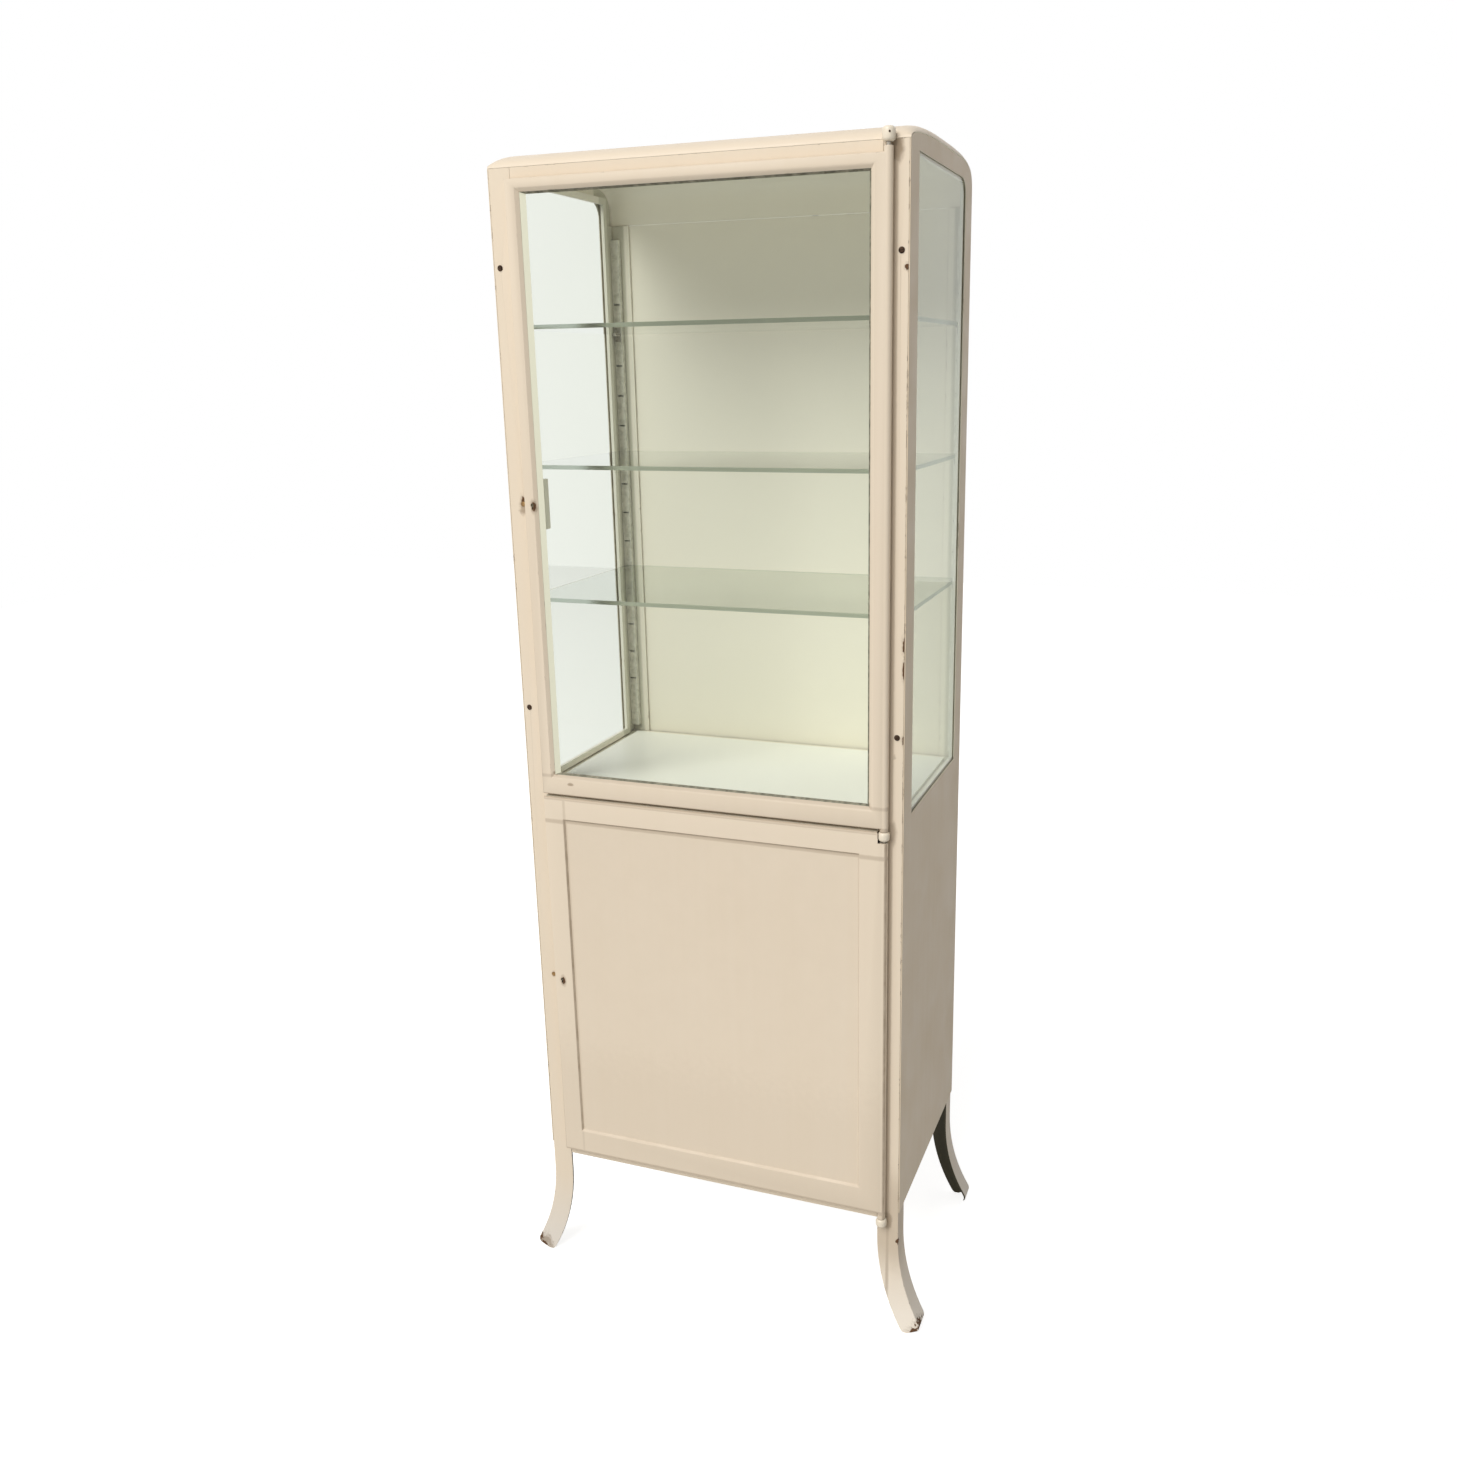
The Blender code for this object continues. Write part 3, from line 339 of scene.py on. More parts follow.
    def make_brushed_paint(self) -> bpy.types.NodeTree:
        """Slow drifts of tone, faint brush lines and the fine ripple of an old enamel coat.

        Returns:
            The finished group.
        """
        group, graph, given, result = self.start(
            "brushed_paint", {"Place": (0.0, 0.0, 0.0), "Along": (60.0, 60.0, 1.6)},
            ("Tone", "Smears", "Ripple"))
        drift = graph.noise(given.outputs["Place"], 5.0, 3.0, 0.55)
        strokes = graph.vector("MULTIPLY", given.outputs["Place"], given.outputs["Along"]).outputs["Vector"]
        lines = graph.noise(strokes, 1.0, 4.0, 0.55, 0.2)
        tone = graph.calc("ADD", graph.calc("MULTIPLY", drift, 0.55), graph.calc("MULTIPLY", lines, 0.45))
        graph.feed(result.inputs["Tone"], graph.spread(tone, 0.30, 0.70))
        smears = graph.noise(given.outputs["Place"], 14.0, 5.0, 0.65, 0.6)
        graph.feed(result.inputs["Smears"], graph.spread(smears, 0.35, 0.7))
        fine = graph.noise(given.outputs["Place"], 420.0, 2.0)
        slow = graph.noise(given.outputs["Place"], 9.0, 1.0)
        ripple = graph.calc("ADD", graph.calc("MULTIPLY", fine, 0.05), graph.calc("MULTIPLY", slow, 0.9))
        graph.feed(result.inputs["Ripple"], graph.calc("ADD", ripple, graph.calc("MULTIPLY", lines, 0.05)))
        return group


@dataclass(frozen=True)
class Spot:
    """A patch where the paint is chipped or stained, or where shade is painted: its middle, half sizes, torn
    edge and depth of stain or shade.
    """

    centre: Place
    reach: Place
    ragged: float = 0.5
    strength: float = 0.6


@dataclass(frozen=True)
class Enamel:
    """Aged cream stove enamel on sheet steel."""

    name: str
    pale: Colour = (0.800, 0.682, 0.534)
    warm: Colour = (0.762, 0.636, 0.474)
    # paler coat of the inward faces: partly paler paint, partly painted light for the dimmer inside
    inside: Colour = (0.985, 0.945, 0.805)
    inside_low: Colour = (0.880, 0.842, 0.706)
    # dark tone of inward faces under the body: partly bare sheet, partly painted shade
    underside_bare_and_shade: Colour = (0.055, 0.048, 0.022)
    # darker tone of inward faces in the rear corners: painted shade
    corner: Colour = (0.640, 0.625, 0.500)
    # tone towards the floor; where it is paler than the coat it is painted light on the toes
    foot: Colour = (0.930, 0.850, 0.740)
    # brown tone of soiling, which also carries the painted shade of the joint, spot and slope masks
    dirt_and_shade: Colour = (0.20, 0.125, 0.06)
    rust: Colour = (0.065, 0.035, 0.018)
    fresh_rust: Colour = (0.16, 0.075, 0.03)
    wear: float = 0.32
    edge: float = 0.0016
    # strength and reach of the darkening in closed corners and joints: partly soiling, partly painted shade
    joint_shade_and_dirt: float = 0.55
    joint_shade_and_dirt_reach: float = 0.006
    thin_paint: float = 0.35
    chip_halo: float = 0.30
    stain_grain: float = 90.0
    gloss: float = 0.38
    shine: float = 0.32
    relief: float = 0.16
    ripple: float = 0.0006
    strokes: Place = (60.0, 60.0, 1.6)
    streaks: float = 0.5
    middle: Place = (0.0, 0.0, 1.0)
    lean: Place = (1.0, 1.5, 0.6)
    reveal: float = -0.1866
    inside_heights: tuple[float, float] = (0.9, 1.6)
    leg_height: float = 0.0
    corner_side: float = 0.272
    corner_start: float = 0.130
    foot_tone_heights: tuple[float, float] = (0.03, 0.15)
    # depth range of the pressed-field slopes that get painted shade
    groove_shade_depths: tuple[float, float] = (0.0, 0.0)
    chips: tuple[Spot, ...] = ()
    stains_and_shades: tuple[Spot, ...] = ()

    def make(self, effects: SharedEffects) -> bpy.types.Material:
        """Builds the material.

        Args:
            effects: the shared node groups.

        Returns:
            The finished material.
        """
        material, graph, shader = start_material(self.name)
        place = graph.coordinates()
        film = graph.place_group(effects.brushed_paint, Place=place, Along=self.strokes)
        worn = graph.place_group(effects.worn_edge, Place=place, Radius=self.edge, Wear=self.wear)
        crevice_dirt_and_shade = graph.place_group(effects.crevice_dirt_and_shade, Place=place, Reach=self.joint_shade_and_dirt_reach, Amount=self.joint_shade_and_dirt)
        colour = graph.blend(graph.calc("MULTIPLY", film.outputs["Tone"], self.streaks), self.pale, self.warm)
        colour = self.paint_inside(graph, place, colour)
        dirt_and_shade_share = graph.calc("MULTIPLY", worn.outputs["Thin"], self.thin_paint)
        dirt_and_shade_share = graph.calc("MAXIMUM", dirt_and_shade_share, crevice_dirt_and_shade.outputs["DirtAndShade"])
        bare = worn.outputs["Bare"]
        for chip in self.chips:
            node = graph.place_group(effects.spot, Place=place, Centre=chip.centre, Reach=chip.reach,
                                     Ragged=chip.ragged)
            bare = graph.calc("MAXIMUM", bare, node.outputs["Spot"])
            halo = graph.calc("MULTIPLY", node.outputs["Halo"], self.chip_halo)
            dirt_and_shade_share = graph.calc("MAXIMUM", dirt_and_shade_share, halo)
        # stain spots: real stain marks, and painted shade where a spot lies along a gap or under a part
        for stain in self.stains_and_shades:
            node = graph.place_group(effects.spot, Place=place, Centre=stain.centre, Reach=stain.reach,
                                     Ragged=stain.ragged, Grain=self.stain_grain)
            halo = graph.calc("MULTIPLY", node.outputs["Halo"], stain.strength)
            dirt_and_shade_share = graph.calc("MAXIMUM", dirt_and_shade_share, halo)
        # painted shade on the pressed field's slopes
        if self.groove_shade_depths[0]:
            dirt_and_shade_share = graph.calc("MAXIMUM", dirt_and_shade_share, self.paint_groove_shade(graph, place))
        # soiling and painted shade laid on in one brown tone
        colour = graph.blend(dirt_and_shade_share, colour, self.dirt_and_shade)
        speckle = graph.noise(place, 700.0, 3.0)
        rusty = graph.blend(graph.spread(speckle, 0.35, 0.65), self.rust, self.fresh_rust)
        graph.feed(shader.inputs["Base Color"], graph.blend(bare, colour, rusty))
        shader.inputs["Specular IOR Level"].default_value = self.shine
        rough = graph.calc("MULTIPLY_ADD", film.outputs["Smears"], 0.16, self.gloss)
        dull = graph.calc("MULTIPLY", graph.calc("MAXIMUM", bare, dirt_and_shade_share), 0.35)
        rough = graph.calc("ADD", rough, dull, clamp=True)
        graph.feed(shader.inputs["Roughness"], rough)
        height = graph.calc("SUBTRACT", film.outputs["Ripple"], graph.calc("MULTIPLY", bare, 0.25))
        graph.emboss(shader, height, strength=self.relief, depth=self.ripple)
        return material

    def paint_groove_shade(self, graph: Graph, place: bpy.types.NodeSocket) -> bpy.types.NodeSocket:
        """Painted shade on the slopes of a pressed field, most of it on the left one and under the top one,
        the slopes that face right and down, away from the lamp.

        Args:
            graph: the material's graph.
            place: object coordinates.

        Returns:
            How much painted shade each point gets.
        """
        front, rear = self.groove_shade_depths
        blur = 0.0004
        depth = graph.axis(place, "Y")
        on_slope = graph.calc("MULTIPLY", graph.spread(depth, front, front + blur),
                              graph.spread(depth, rear - blur, rear, 1.0, 0.0))
        normal = graph.surface_normal()
        downwards = graph.calc("MULTIPLY", graph.axis(normal, "Z"), -1.0)
        turned_from_lamp = graph.calc("MAXIMUM", graph.axis(normal, "X"), downwards)
        share = graph.spread(turned_from_lamp, 0.1, 0.6, 0.18, 0.62)
        uneven = graph.spread(graph.noise(place, 35.0, 4.0, 0.6), 0.3, 0.65, 0.6, 1.0)
        return graph.calc("MULTIPLY", graph.calc("MULTIPLY", on_slope, share), uneven)

    def paint_inside(self, graph: Graph, place: bpy.types.NodeSocket, outer: bpy.types.NodeSocket) -> (
            bpy.types.NodeSocket):
        """Gives the faces that look into the cabinet their paler, greener coat, which is partly paler paint
        and partly painted light for the dimmer inside, and darker below the lower of inside_heights; under
        the body these faces get a dark tone that is partly bare sheet and partly painted shade, the rear
        corners get painted shade, and towards the floor a foot tone is laid on that is painted light where it
        is paler.

        Args:
            graph: the material's graph.
            place: object coordinates.
            outer: the colour of the outer faces.

        Returns:
            The colour of every face.
        """
        across, depth, height = (graph.axis(place, name) for name in "XYZ")
        from_middle = graph.vector("SUBTRACT", place, self.middle).outputs["Vector"]
        weights = graph.vector("MULTIPLY", from_middle, self.lean).outputs["Vector"]
        facing = graph.vector("DOT_PRODUCT", weights, graph.surface_normal()).outputs["Value"]
        behind_reveal = graph.spread(depth, self.reveal - 0.0003, self.reveal + 0.0003)
        inwards = graph.calc("MULTIPLY", graph.spread(facing, -0.02, -0.07), behind_reveal)
        coat = graph.blend(graph.spread(height, *self.inside_heights), self.inside_low, self.inside)
        colour = graph.blend(inwards, outer, coat)
        if self.leg_height:
            beside = graph.spread(graph.calc("ABSOLUTE", across), self.corner_side, self.corner_side + 0.004)
            behind = graph.spread(depth, self.corner_start, self.corner_start + 0.003)
            shaded_corner = graph.calc("MULTIPLY", graph.calc("MULTIPLY", behind, beside), inwards)
            # painted shade in the rear corners
            colour = graph.blend(shaded_corner, colour, self.corner)
            # foot tone towards the floor, painted light where it is paler
            colour = graph.blend(graph.spread(height, *self.foot_tone_heights, 0.75, 0.0), colour, self.foot)
            below = graph.spread(height, self.leg_height - 0.004, self.leg_height + 0.004, 1.0, 0.0)
            # under the body: bare sheet and painted shade
            colour = graph.blend(graph.calc("MULTIPLY", below, inwards), colour, self.underside_bare_and_shade)
        return colour


@dataclass(frozen=True)
class Glass:
    """Old drawn window glass with green edges, and a darker tint towards grazing angles that is painted
    reflection of a dim room.
    """

    name: str
    face: Colour = (0.925, 0.942, 0.905)
    rim: Colour = (0.230, 0.280, 0.220)
    deep: Colour = (0.450, 0.495, 0.420)
    shadow: Colour = (0.985, 0.990, 0.985)
    bend: float = 1.25
    waves: float = 0.15
    flat_axis: int = 1

    def make(self, effects: SharedEffects) -> bpy.types.Material:
        """Builds the material.

        Args:
            effects: the shared node groups; not used.

        Returns:
            The finished material.
        """
        material, graph, shader = start_material(self.name)
        place = graph.coordinates()
        across = graph.calc("ABSOLUTE", graph.axis(graph.surface_normal(), "XYZ"[self.flat_axis]))
        edge = graph.spread(across, 0.45, 0.75, 1.0, 0.0)
        # darker tint towards grazing angles: painted reflection of a dim room
        slanting = graph.add("LayerWeight", None, Blend=0.5).outputs["Facing"]
        body = graph.blend(graph.spread(slanting, 0.50, 0.85, 0.0, 0.9), self.face, self.deep)
        graph.feed(shader.inputs["Base Color"], graph.blend(edge, body, self.rim))
        shader.inputs["Transmission Weight"].default_value = 1.0
        shader.inputs["IOR"].default_value = self.bend
        graph.feed(shader.inputs["Roughness"], graph.calc("MULTIPLY", edge, 0.3))
        graph.emboss(shader, graph.noise(place, 6.0, 1.0), strength=self.waves, depth=0.002)
        rays = graph.add("LightPath")
        seen = graph.calc("MAXIMUM", rays.outputs["Is Camera Ray"], rays.outputs["Is Transmission Ray"])
        clear = graph.add("BsdfTransparent", None, Color=self.shadow)
        lit = graph.add("MixShader")
        graph.feed(lit.inputs[0], seen)
        graph.feed(lit.inputs[1], clear.outputs["BSDF"])
        graph.feed(lit.inputs[2], shader.outputs["BSDF"])
        graph.feed(graph.tree.nodes["Material Output"].inputs["Surface"], lit.outputs["Shader"])
        return material


@dataclass(frozen=True)
class OpalGlass:
    """White glass plate with a pale green cast."""

    name: str
    face: Colour = (0.985, 0.988, 0.910)
    cloud: Colour = (0.965, 0.965, 0.880)
    dirt_and_shade: Colour = (0.30, 0.26, 0.17)
    gloss: float = 0.30

    def make(self, effects: SharedEffects) -> bpy.types.Material:
        """Builds the material.

        Args:
            effects: the shared node groups.

        Returns:
            The finished material.
        """
        material, graph, shader = start_material(self.name)
        place = graph.coordinates()
        clouds = graph.spread(graph.noise(place, 7.0, 4.0, 0.6), 0.35, 0.65)
        rubbed = graph.spread(graph.noise(place, 60.0, 5.0, 0.7, 0.3), 0.45, 0.75)
        crevice_dirt_and_shade = graph.place_group(effects.crevice_dirt_and_shade, Place=place, Reach=0.004, Amount=0.3)
        colour = graph.blend(clouds, self.face, self.cloud)
        # darker where corners close: painted shade, partly soiling
        colour = graph.blend(crevice_dirt_and_shade.outputs["DirtAndShade"], colour, self.dirt_and_shade)
        graph.feed(shader.inputs["Base Color"], colour)
        graph.feed(shader.inputs["Roughness"], graph.calc("MULTIPLY_ADD", rubbed, 0.14, self.gloss))
        shader.inputs["Specular IOR Level"].default_value = 0.25
        graph.emboss(shader, graph.noise(place, 5.0, 1.0), strength=0.05, depth=0.001)
        return material


@dataclass(frozen=True)
class Putty:
    """Old glazing putty, dark and cracked, darker in its corners by painted shade and soiling, with a paler
    strip at the left on the faces that turn to +X, which is painted light.
    """

    name: str
    pale: Colour = (0.30, 0.28, 0.20)
    dark: Colour = (0.10, 0.095, 0.06)
    painted_light: Colour = (0.78, 0.77, 0.60)

    def make(self, effects: SharedEffects) -> bpy.types.Material:
        """Builds the material.

        Args:
            effects: the shared node groups.

        Returns:
            The finished material.
        """
        material, graph, shader = start_material(self.name)
        place = graph.coordinates()
        lumps = graph.noise(place, 160.0, 5.0, 0.65, 0.3)
        crevice_dirt_and_shade = graph.place_group(effects.crevice_dirt_and_shade, Place=place, Reach=0.003, Amount=0.6)
        colour = graph.blend(graph.spread(lumps, 0.35, 0.65), self.dark, self.pale)
        colour = graph.blend(crevice_dirt_and_shade.outputs["DirtAndShade"], colour, self.dark)
        # faces that turn to +X go pale: painted light on the left strip
        across = graph.axis(graph.surface_normal(), "X")
        colour = graph.blend(graph.spread(across, 0.1, 0.25), colour, self.painted_light)
        graph.feed(shader.inputs["Base Color"], colour)
        graph.feed(shader.inputs["Roughness"], graph.calc("MULTIPLY_ADD", lumps, 0.2, 0.6))
        graph.emboss(shader, lumps, strength=0.5, depth=0.0005)
        return material


@dataclass(frozen=True)
class Metal:
    """Bare or plated metal with stain marks, darker in its joints by painted shade and soiling."""

    name: str
    bright: Colour
    dull: Colour
    metallic: float = 1.0
    gloss: float = 0.34
    grain: Place = (300.0, 300.0, 20.0)

    def make(self, effects: SharedEffects) -> bpy.types.Material:
        """Builds the material.

        Args:
            effects: the shared node groups.

        Returns:
            The finished material.
        """
        material, graph, shader = start_material(self.name)
        place = graph.coordinates()
        lines = graph.vector("MULTIPLY", place, self.grain).outputs["Vector"]
        brushed = graph.noise(lines, 1.0, 3.0)
        stain = graph.spread(graph.noise(place, 90.0, 4.0, 0.65, 0.4), 0.42, 0.62)
        crevice_dirt_and_shade = graph.place_group(effects.crevice_dirt_and_shade, Place=place, Reach=0.003, Amount=0.8)
        # the dull tone also follows the joint mask: painted shade, partly soiling
        share = graph.calc("MAXIMUM", graph.calc("MULTIPLY", stain, 0.7), crevice_dirt_and_shade.outputs["DirtAndShade"])
        graph.feed(shader.inputs["Base Color"], graph.blend(share, self.bright, self.dull))
        shader.inputs["Metallic"].default_value = self.metallic
        rough = graph.calc("MULTIPLY_ADD", brushed, 0.12, self.gloss)
        rough = graph.calc("ADD", graph.calc("MULTIPLY", share, 0.25), rough, clamp=True)
        graph.feed(shader.inputs["Roughness"], rough)
        graph.emboss(shader, brushed, strength=0.25, depth=0.0002)
        return material


def start_material(name: str) -> tuple[bpy.types.Material, Graph, bpy.types.Node]:
    """Makes a material with a Principled shader.

    Args:
        name: the material's name.

    Returns:
        The material, its graph and its shader.
    """
    material = bpy.data.materials.new(name)
    material.use_nodes = True
    return material, Graph(material.node_tree), material.node_tree.nodes["Principled BSDF"]


def dress(node: str, material: bpy.types.Material) -> None:
    """Gives a CAD node a better material.

    Args:
        node: the CAD node's name.
        material: its new finish.
    """
    for slot in NODES[node].material_slots:
        slot.material = material
    log.info("dressed %s with %s", node, material.name)


def copy_of(node: str) -> bmesh.types.BMesh:
    """Takes a copy of a CAD node's mesh with its points merged and its flat faces whole.

    Args:
        node: the CAD node.

    Returns:
        The copy.
    """
    mesh = bmesh.new()
    mesh.from_mesh(NODES[node].data)
    bmesh.ops.remove_doubles(mesh, verts=mesh.verts, dist=0.000002)
    bmesh.ops.dissolve_limit(mesh, angle_limit=math.radians(0.4), use_dissolve_boundaries=False,
                             verts=mesh.verts, edges=mesh.edges, delimit=set())
    return mesh


def round_off(mesh: bmesh.types.BMesh, edges: list[bmesh.types.BMEdge], width: float, segments: int) -> None:
    """Rounds chosen edges.

    Args:
        mesh: the mesh to change.
        edges: its edges to round.
        width: how far the round reaches from each edge.
        segments: how many faces make the round.
    """
    bmesh.ops.bevel(mesh, geom=edges, offset=width, offset_type="OFFSET", segments=segments, profile=0.5,
                    affect="EDGES", clamp_overlap=True, material=-1)


def sharp_edges(mesh: bmesh.types.BMesh, degrees: float = 60.0) -> list[bmesh.types.BMEdge]:
    """Finds the edges where two faces meet at an angle."""
    limit = math.radians(degrees)
    return [edge for edge in mesh.edges if len(edge.link_faces) == 2 and edge.calc_face_angle(0.0) > limit]


@dataclass(frozen=True)
class Part:
    """Where a new piece belongs and how it is finished."""

    name: str
    body: Body
    slot: Slot
    material: bpy.types.Material
    stands_for: tuple[str, ...] = ()
    soft_edge: float = 0.0
    edge_faces: int = 3
    edge_degrees: float = 35.0
    smooth_degrees: float = 38.0

    def place(self, mesh: bmesh.types.BMesh) -> bpy.types.Object:
        """Makes the piece's object, hangs it on its body's empty and hides the CAD nodes it stands for.

        Args:
            mesh: the piece's shape, in the cabinet's place.

        Returns:
            The finished object.
        """
        data = bpy.data.meshes.new(self.name)
        mesh.to_mesh(data)
        mesh.free()
        data.polygons.foreach_set("use_smooth", [True] * len(data.polygons))
        data.set_sharp_from_angle(angle=math.radians(self.smooth_degrees))
        data.materials.append(self.material)
        piece = bpy.data.objects.new(self.name, data)
        bpy.context.scene.collection.objects.link(piece)
        if self.soft_edge:
            soften = piece.modifiers.new("soft_edges", "BEVEL")
            soften.width = self.soft_edge
            soften.segments = self.edge_faces
            soften.limit_method = "ANGLE"
            soften.angle_limit = math.radians(self.edge_degrees)
            soften.harden_normals = True
        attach(piece, self.body.value)
        if self.stands_for:
            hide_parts(*self.stands_for)
        log.info("placed %s on %s", self.name, self.body.value)
        return piece


@dataclass
class Carcase:
    """Posts, sides, back, dome, rails, deck and floor of the cabinet."""

    fold: float = 0.0028
    fold_segments: int = 6
    soft_edge: float = 0.0005
    dome_edge: float = 0.0004
    leg_height: float = 0.205
    front: float = -0.1774
    corner: float = 0.2982
    left_foot: Colour = (0.740, 0.690, 0.620)
    # the right toe's paler tone is painted light
    right_toe_light: Colour = (0.950, 0.870, 0.760)
    plain: tuple[str, ...] = ("back_panel", "upper_deck", "cabinet_floor")
    beads: tuple[str, ...] = ("left_window_bead", "right_window_bead")
    sheets: tuple[str, ...] = ("left_side_panel", "right_side_panel", "front_top_rail", "front_middle_rail",
                               "front_bottom_rail")

    def post_wear(self, side: int) -> tuple[tuple[Spot, ...], tuple[Spot, ...]]:
        """Chips of a front post, its stain marks, and on the hinge side the painted shade in the gap, beside
        the knobs and on the leg.

        Args:
            side: -1 for the left post and 1 for the right one.

        Returns:
            The chips, and the stain marks together with the painted shade.
        """
        x, y = side * self.corner, self.front
        toe, tip = side * 0.331, side * 0.336
        chips = [Spot((toe, -0.184, 0.004), (0.010, 0.014, 0.009), 0.7),
                 Spot((toe, -0.150, 0.006), (0.012, 0.030, 0.008), 0.7),
                 Spot((tip, -0.178, 0.016), (0.007, 0.012, 0.012), 0.9)]
        if side > 0:
            beside_knob = 0.2822
            # painted shade on the leg below the door, in the hinge gap and beside the knobs and the lug
            leg_shade = Spot((0.290, y, 0.190), (0.040, 0.030, 0.055), 0.10, 0.26)
            gap_shade_line = Spot((0.2813, y, 0.960), (0.0022, 0.003, 1.3), 0.15, 0.40)
            middle_knob_shade = Spot((beside_knob, y, 0.822), (0.0050, 0.004, 0.013), 0.3, 0.55)
            bottom_knob_shade = Spot((beside_knob, y, 0.192), (0.0050, 0.004, 0.013), 0.3, 0.60)
            lug_shade = Spot((beside_knob, y, 1.716), (0.0060, 0.004, 0.012), 0.3, 0.70)
            rub = Spot((0.2781, y, 0.934), (0.006, 0.003, 0.003), 0.9, 0.35)
            stains_and_shades = [leg_shade, gap_shade_line, middle_knob_shade, bottom_knob_shade, lug_shade, rub]
            chips += [Spot((x + 0.001, y, 1.0923), (0.0036, 0.007, 0.011), 0.5),
                      Spot((x + 0.001, y, 1.0562), (0.0032, 0.007, 0.013), 0.5),
                      Spot((x + 0.001, y, 0.959), (0.0030, 0.006, 0.007), 0.5),
                      Spot((x, y, 0.157), (0.0036, 0.006, 0.006), 0.6),
                      Spot((0.2965, y, 1.577), (0.0026, 0.003, 0.004), 0.7)]
        else:
            chips += [Spot((-0.2770, y, 1.2740), (0.0030, 0.004, 0.0065), 0.5),
                      Spot((-0.2768, y, 0.518), (0.0028, 0.004, 0.004), 0.5)]
            strike_stain = Spot((-0.2775, y, 1.268), (0.0045, 0.003, 0.009), 0.7)
            toe_stain = Spot((-0.330, -0.180, 0.010), (0.012, 0.012, 0.012), 0.9)
            stains_and_shades = [strike_stain, toe_stain]
        return tuple(chips), tuple(stains_and_shades)

    def build_posts(self, effects: SharedEffects) -> None:
        """Builds the four angle-iron posts with a rolled corner.

        Args:
            effects: the shared node groups.
        """
        rear = Enamel("rear_post_enamel", leg_height=self.leg_height, wear=0.45).make(effects)
        for label, side in (("left", -1), ("right", 1)):
            chips, stains_and_shades = self.post_wear(side)
            foot = self.left_foot if side < 0 else self.right_toe_light
            front = Enamel(f"{label}_post_enamel", wear=0.52, chips=chips, stains_and_shades=stains_and_shades, foot=foot,
                           leg_height=self.leg_height).make(effects)
            for end, facing, material in (("front", -1, front), ("rear", 1, rear)):
                node = f"{label}_{end}_post"
                mesh = copy_of(node)
                outer = []
                for edge in sharp_edges(mesh):
                    one, other = (face.normal for face in edge.link_faces)
                    if abs(one.y) < abs(other.y):
                        one, other = other, one
                    if one.y * facing > 0.6 and other.x * side > 0.3 and edge.is_convex:
                        outer.append(edge)
                round_off(mesh, outer, self.fold, self.fold_segments)
                Part(f"rolled_{node}", Body.CABINET, Slot.ENAMEL, material, (node,),
                     self.soft_edge).place(mesh)

    def build(self, effects: SharedEffects) -> None:
        """Builds and dresses the whole carcase.

        Args:
            effects: the shared node groups.
        """
        enamel = Enamel("carcase_enamel", wear=0.42, leg_height=self.leg_height).make(effects)
        for node in self.plain:
            dress(node, enamel)
        # The window beads take a paler coat, a lighter painted shade in their rear corners and no joint
        # darkening: painted light against the shade they stand in.
        lit_bead = Enamel("lit_bead_enamel", inside=(0.985, 0.955, 0.840), inside_low=(0.985, 0.955, 0.840),
                      corner=(0.760, 0.750, 0.630), joint_shade_and_dirt=0.0, leg_height=self.leg_height).make(effects)
        for node in self.beads:
            dress(node, lit_bead)
        # The side panels take a darker coat than the front: painted shade on the sides that turn from the
        # lamp.
        side = Enamel("shaded_side_enamel", pale=(0.770, 0.640, 0.478), warm=(0.725, 0.590, 0.415), wear=0.42,
                      shine=0.22, strokes=(90.0, 90.0, 1.2), streaks=0.8,
                      leg_height=self.leg_height).make(effects)
        for node in self.sheets:
            coat = side if node.endswith("side_panel") else enamel
            Part(f"folded_{node}", Body.CABINET, Slot.ENAMEL, coat, (node,),
                 self.soft_edge).place(copy_of(node))
        dome = Enamel("dome_enamel", wear=0.30, strokes=(1.6, 50.0, 50.0)).make(effects)
        Part("domed_top", Body.CABINET, Slot.ENAMEL, dome, ("top_cover",),
             self.dome_edge).place(copy_of("top_cover"))
        self.build_posts(effects)


@dataclass
class Glazing:
    """Panes, shelves and the opal deck plate."""

    panes: dict[str, int] = field(default_factory=lambda: {
        "left_side_glass": 0, "right_side_glass": 0, "upper_door_glass": 1,
        "glass_shelf_1": 2, "glass_shelf_2": 2, "glass_shelf_3": 2})
    bends: tuple[float, float, float] = (1.12, 1.25, 1.30)
    opening: tuple[float, float, float, float] = (-0.2464, 0.2520, 0.8616, 1.6934)
    glass_front: float = -0.1834
    putty: float = 0.0028
    left_putty: float = 0.0085
    proud: float = 0.0001

    def build_putty(self, effects: SharedEffects) -> None:
        """Lays the sloping line of putty between the door's frame and its pane.

        Args:
            effects: the shared node groups.
        """
        left, right, low, high = self.opening
        mesh = bmesh.new()
        front, back = self.glass_front - self.putty, self.glass_front - self.proud
        outer = ((left, front, low), (right, front, low), (right, front, high), (left, front, high))
        start, end = left + self.left_putty, right - self.putty
        foot, head = low + self.putty, high - self.putty
        inner = ((start, back, foot), (end, back, foot), (end, back, head), (start, back, head))
        rim = [mesh.verts.new(corner) for corner in outer]
        lip = [mesh.verts.new(corner) for corner in inner]
        for index in range(len(rim)):
            mesh.faces.new((rim[index - 1], rim[index], lip[index], lip[index - 1]))
        bmesh.ops.subdivide_edges(mesh, edges=mesh.edges, cuts=1, use_grid_fill=True)
        putty = Putty("glazing_putty").make(effects)
        Part("door_pane_putty", Body.UPPER_DOOR, Slot.ENAMEL, putty).place(mesh)

    def build(self, effects: SharedEffects) -> None:
        """Dresses every pane, where the number is the axis across it, and lays the putty.

        Args:
            effects: the shared node groups.
        """
        made = [Glass(f"drawn_glass_{name}", flat_axis=axis, bend=bend).make(effects)
                for axis, (name, bend) in enumerate(zip("xyz", self.bends))]
        for node, axis in self.panes.items():
            dress(node, made[axis])
        dress("deck_glass", OpalGlass("opal_deck_glass").make(effects))
        self.build_putty(effects)


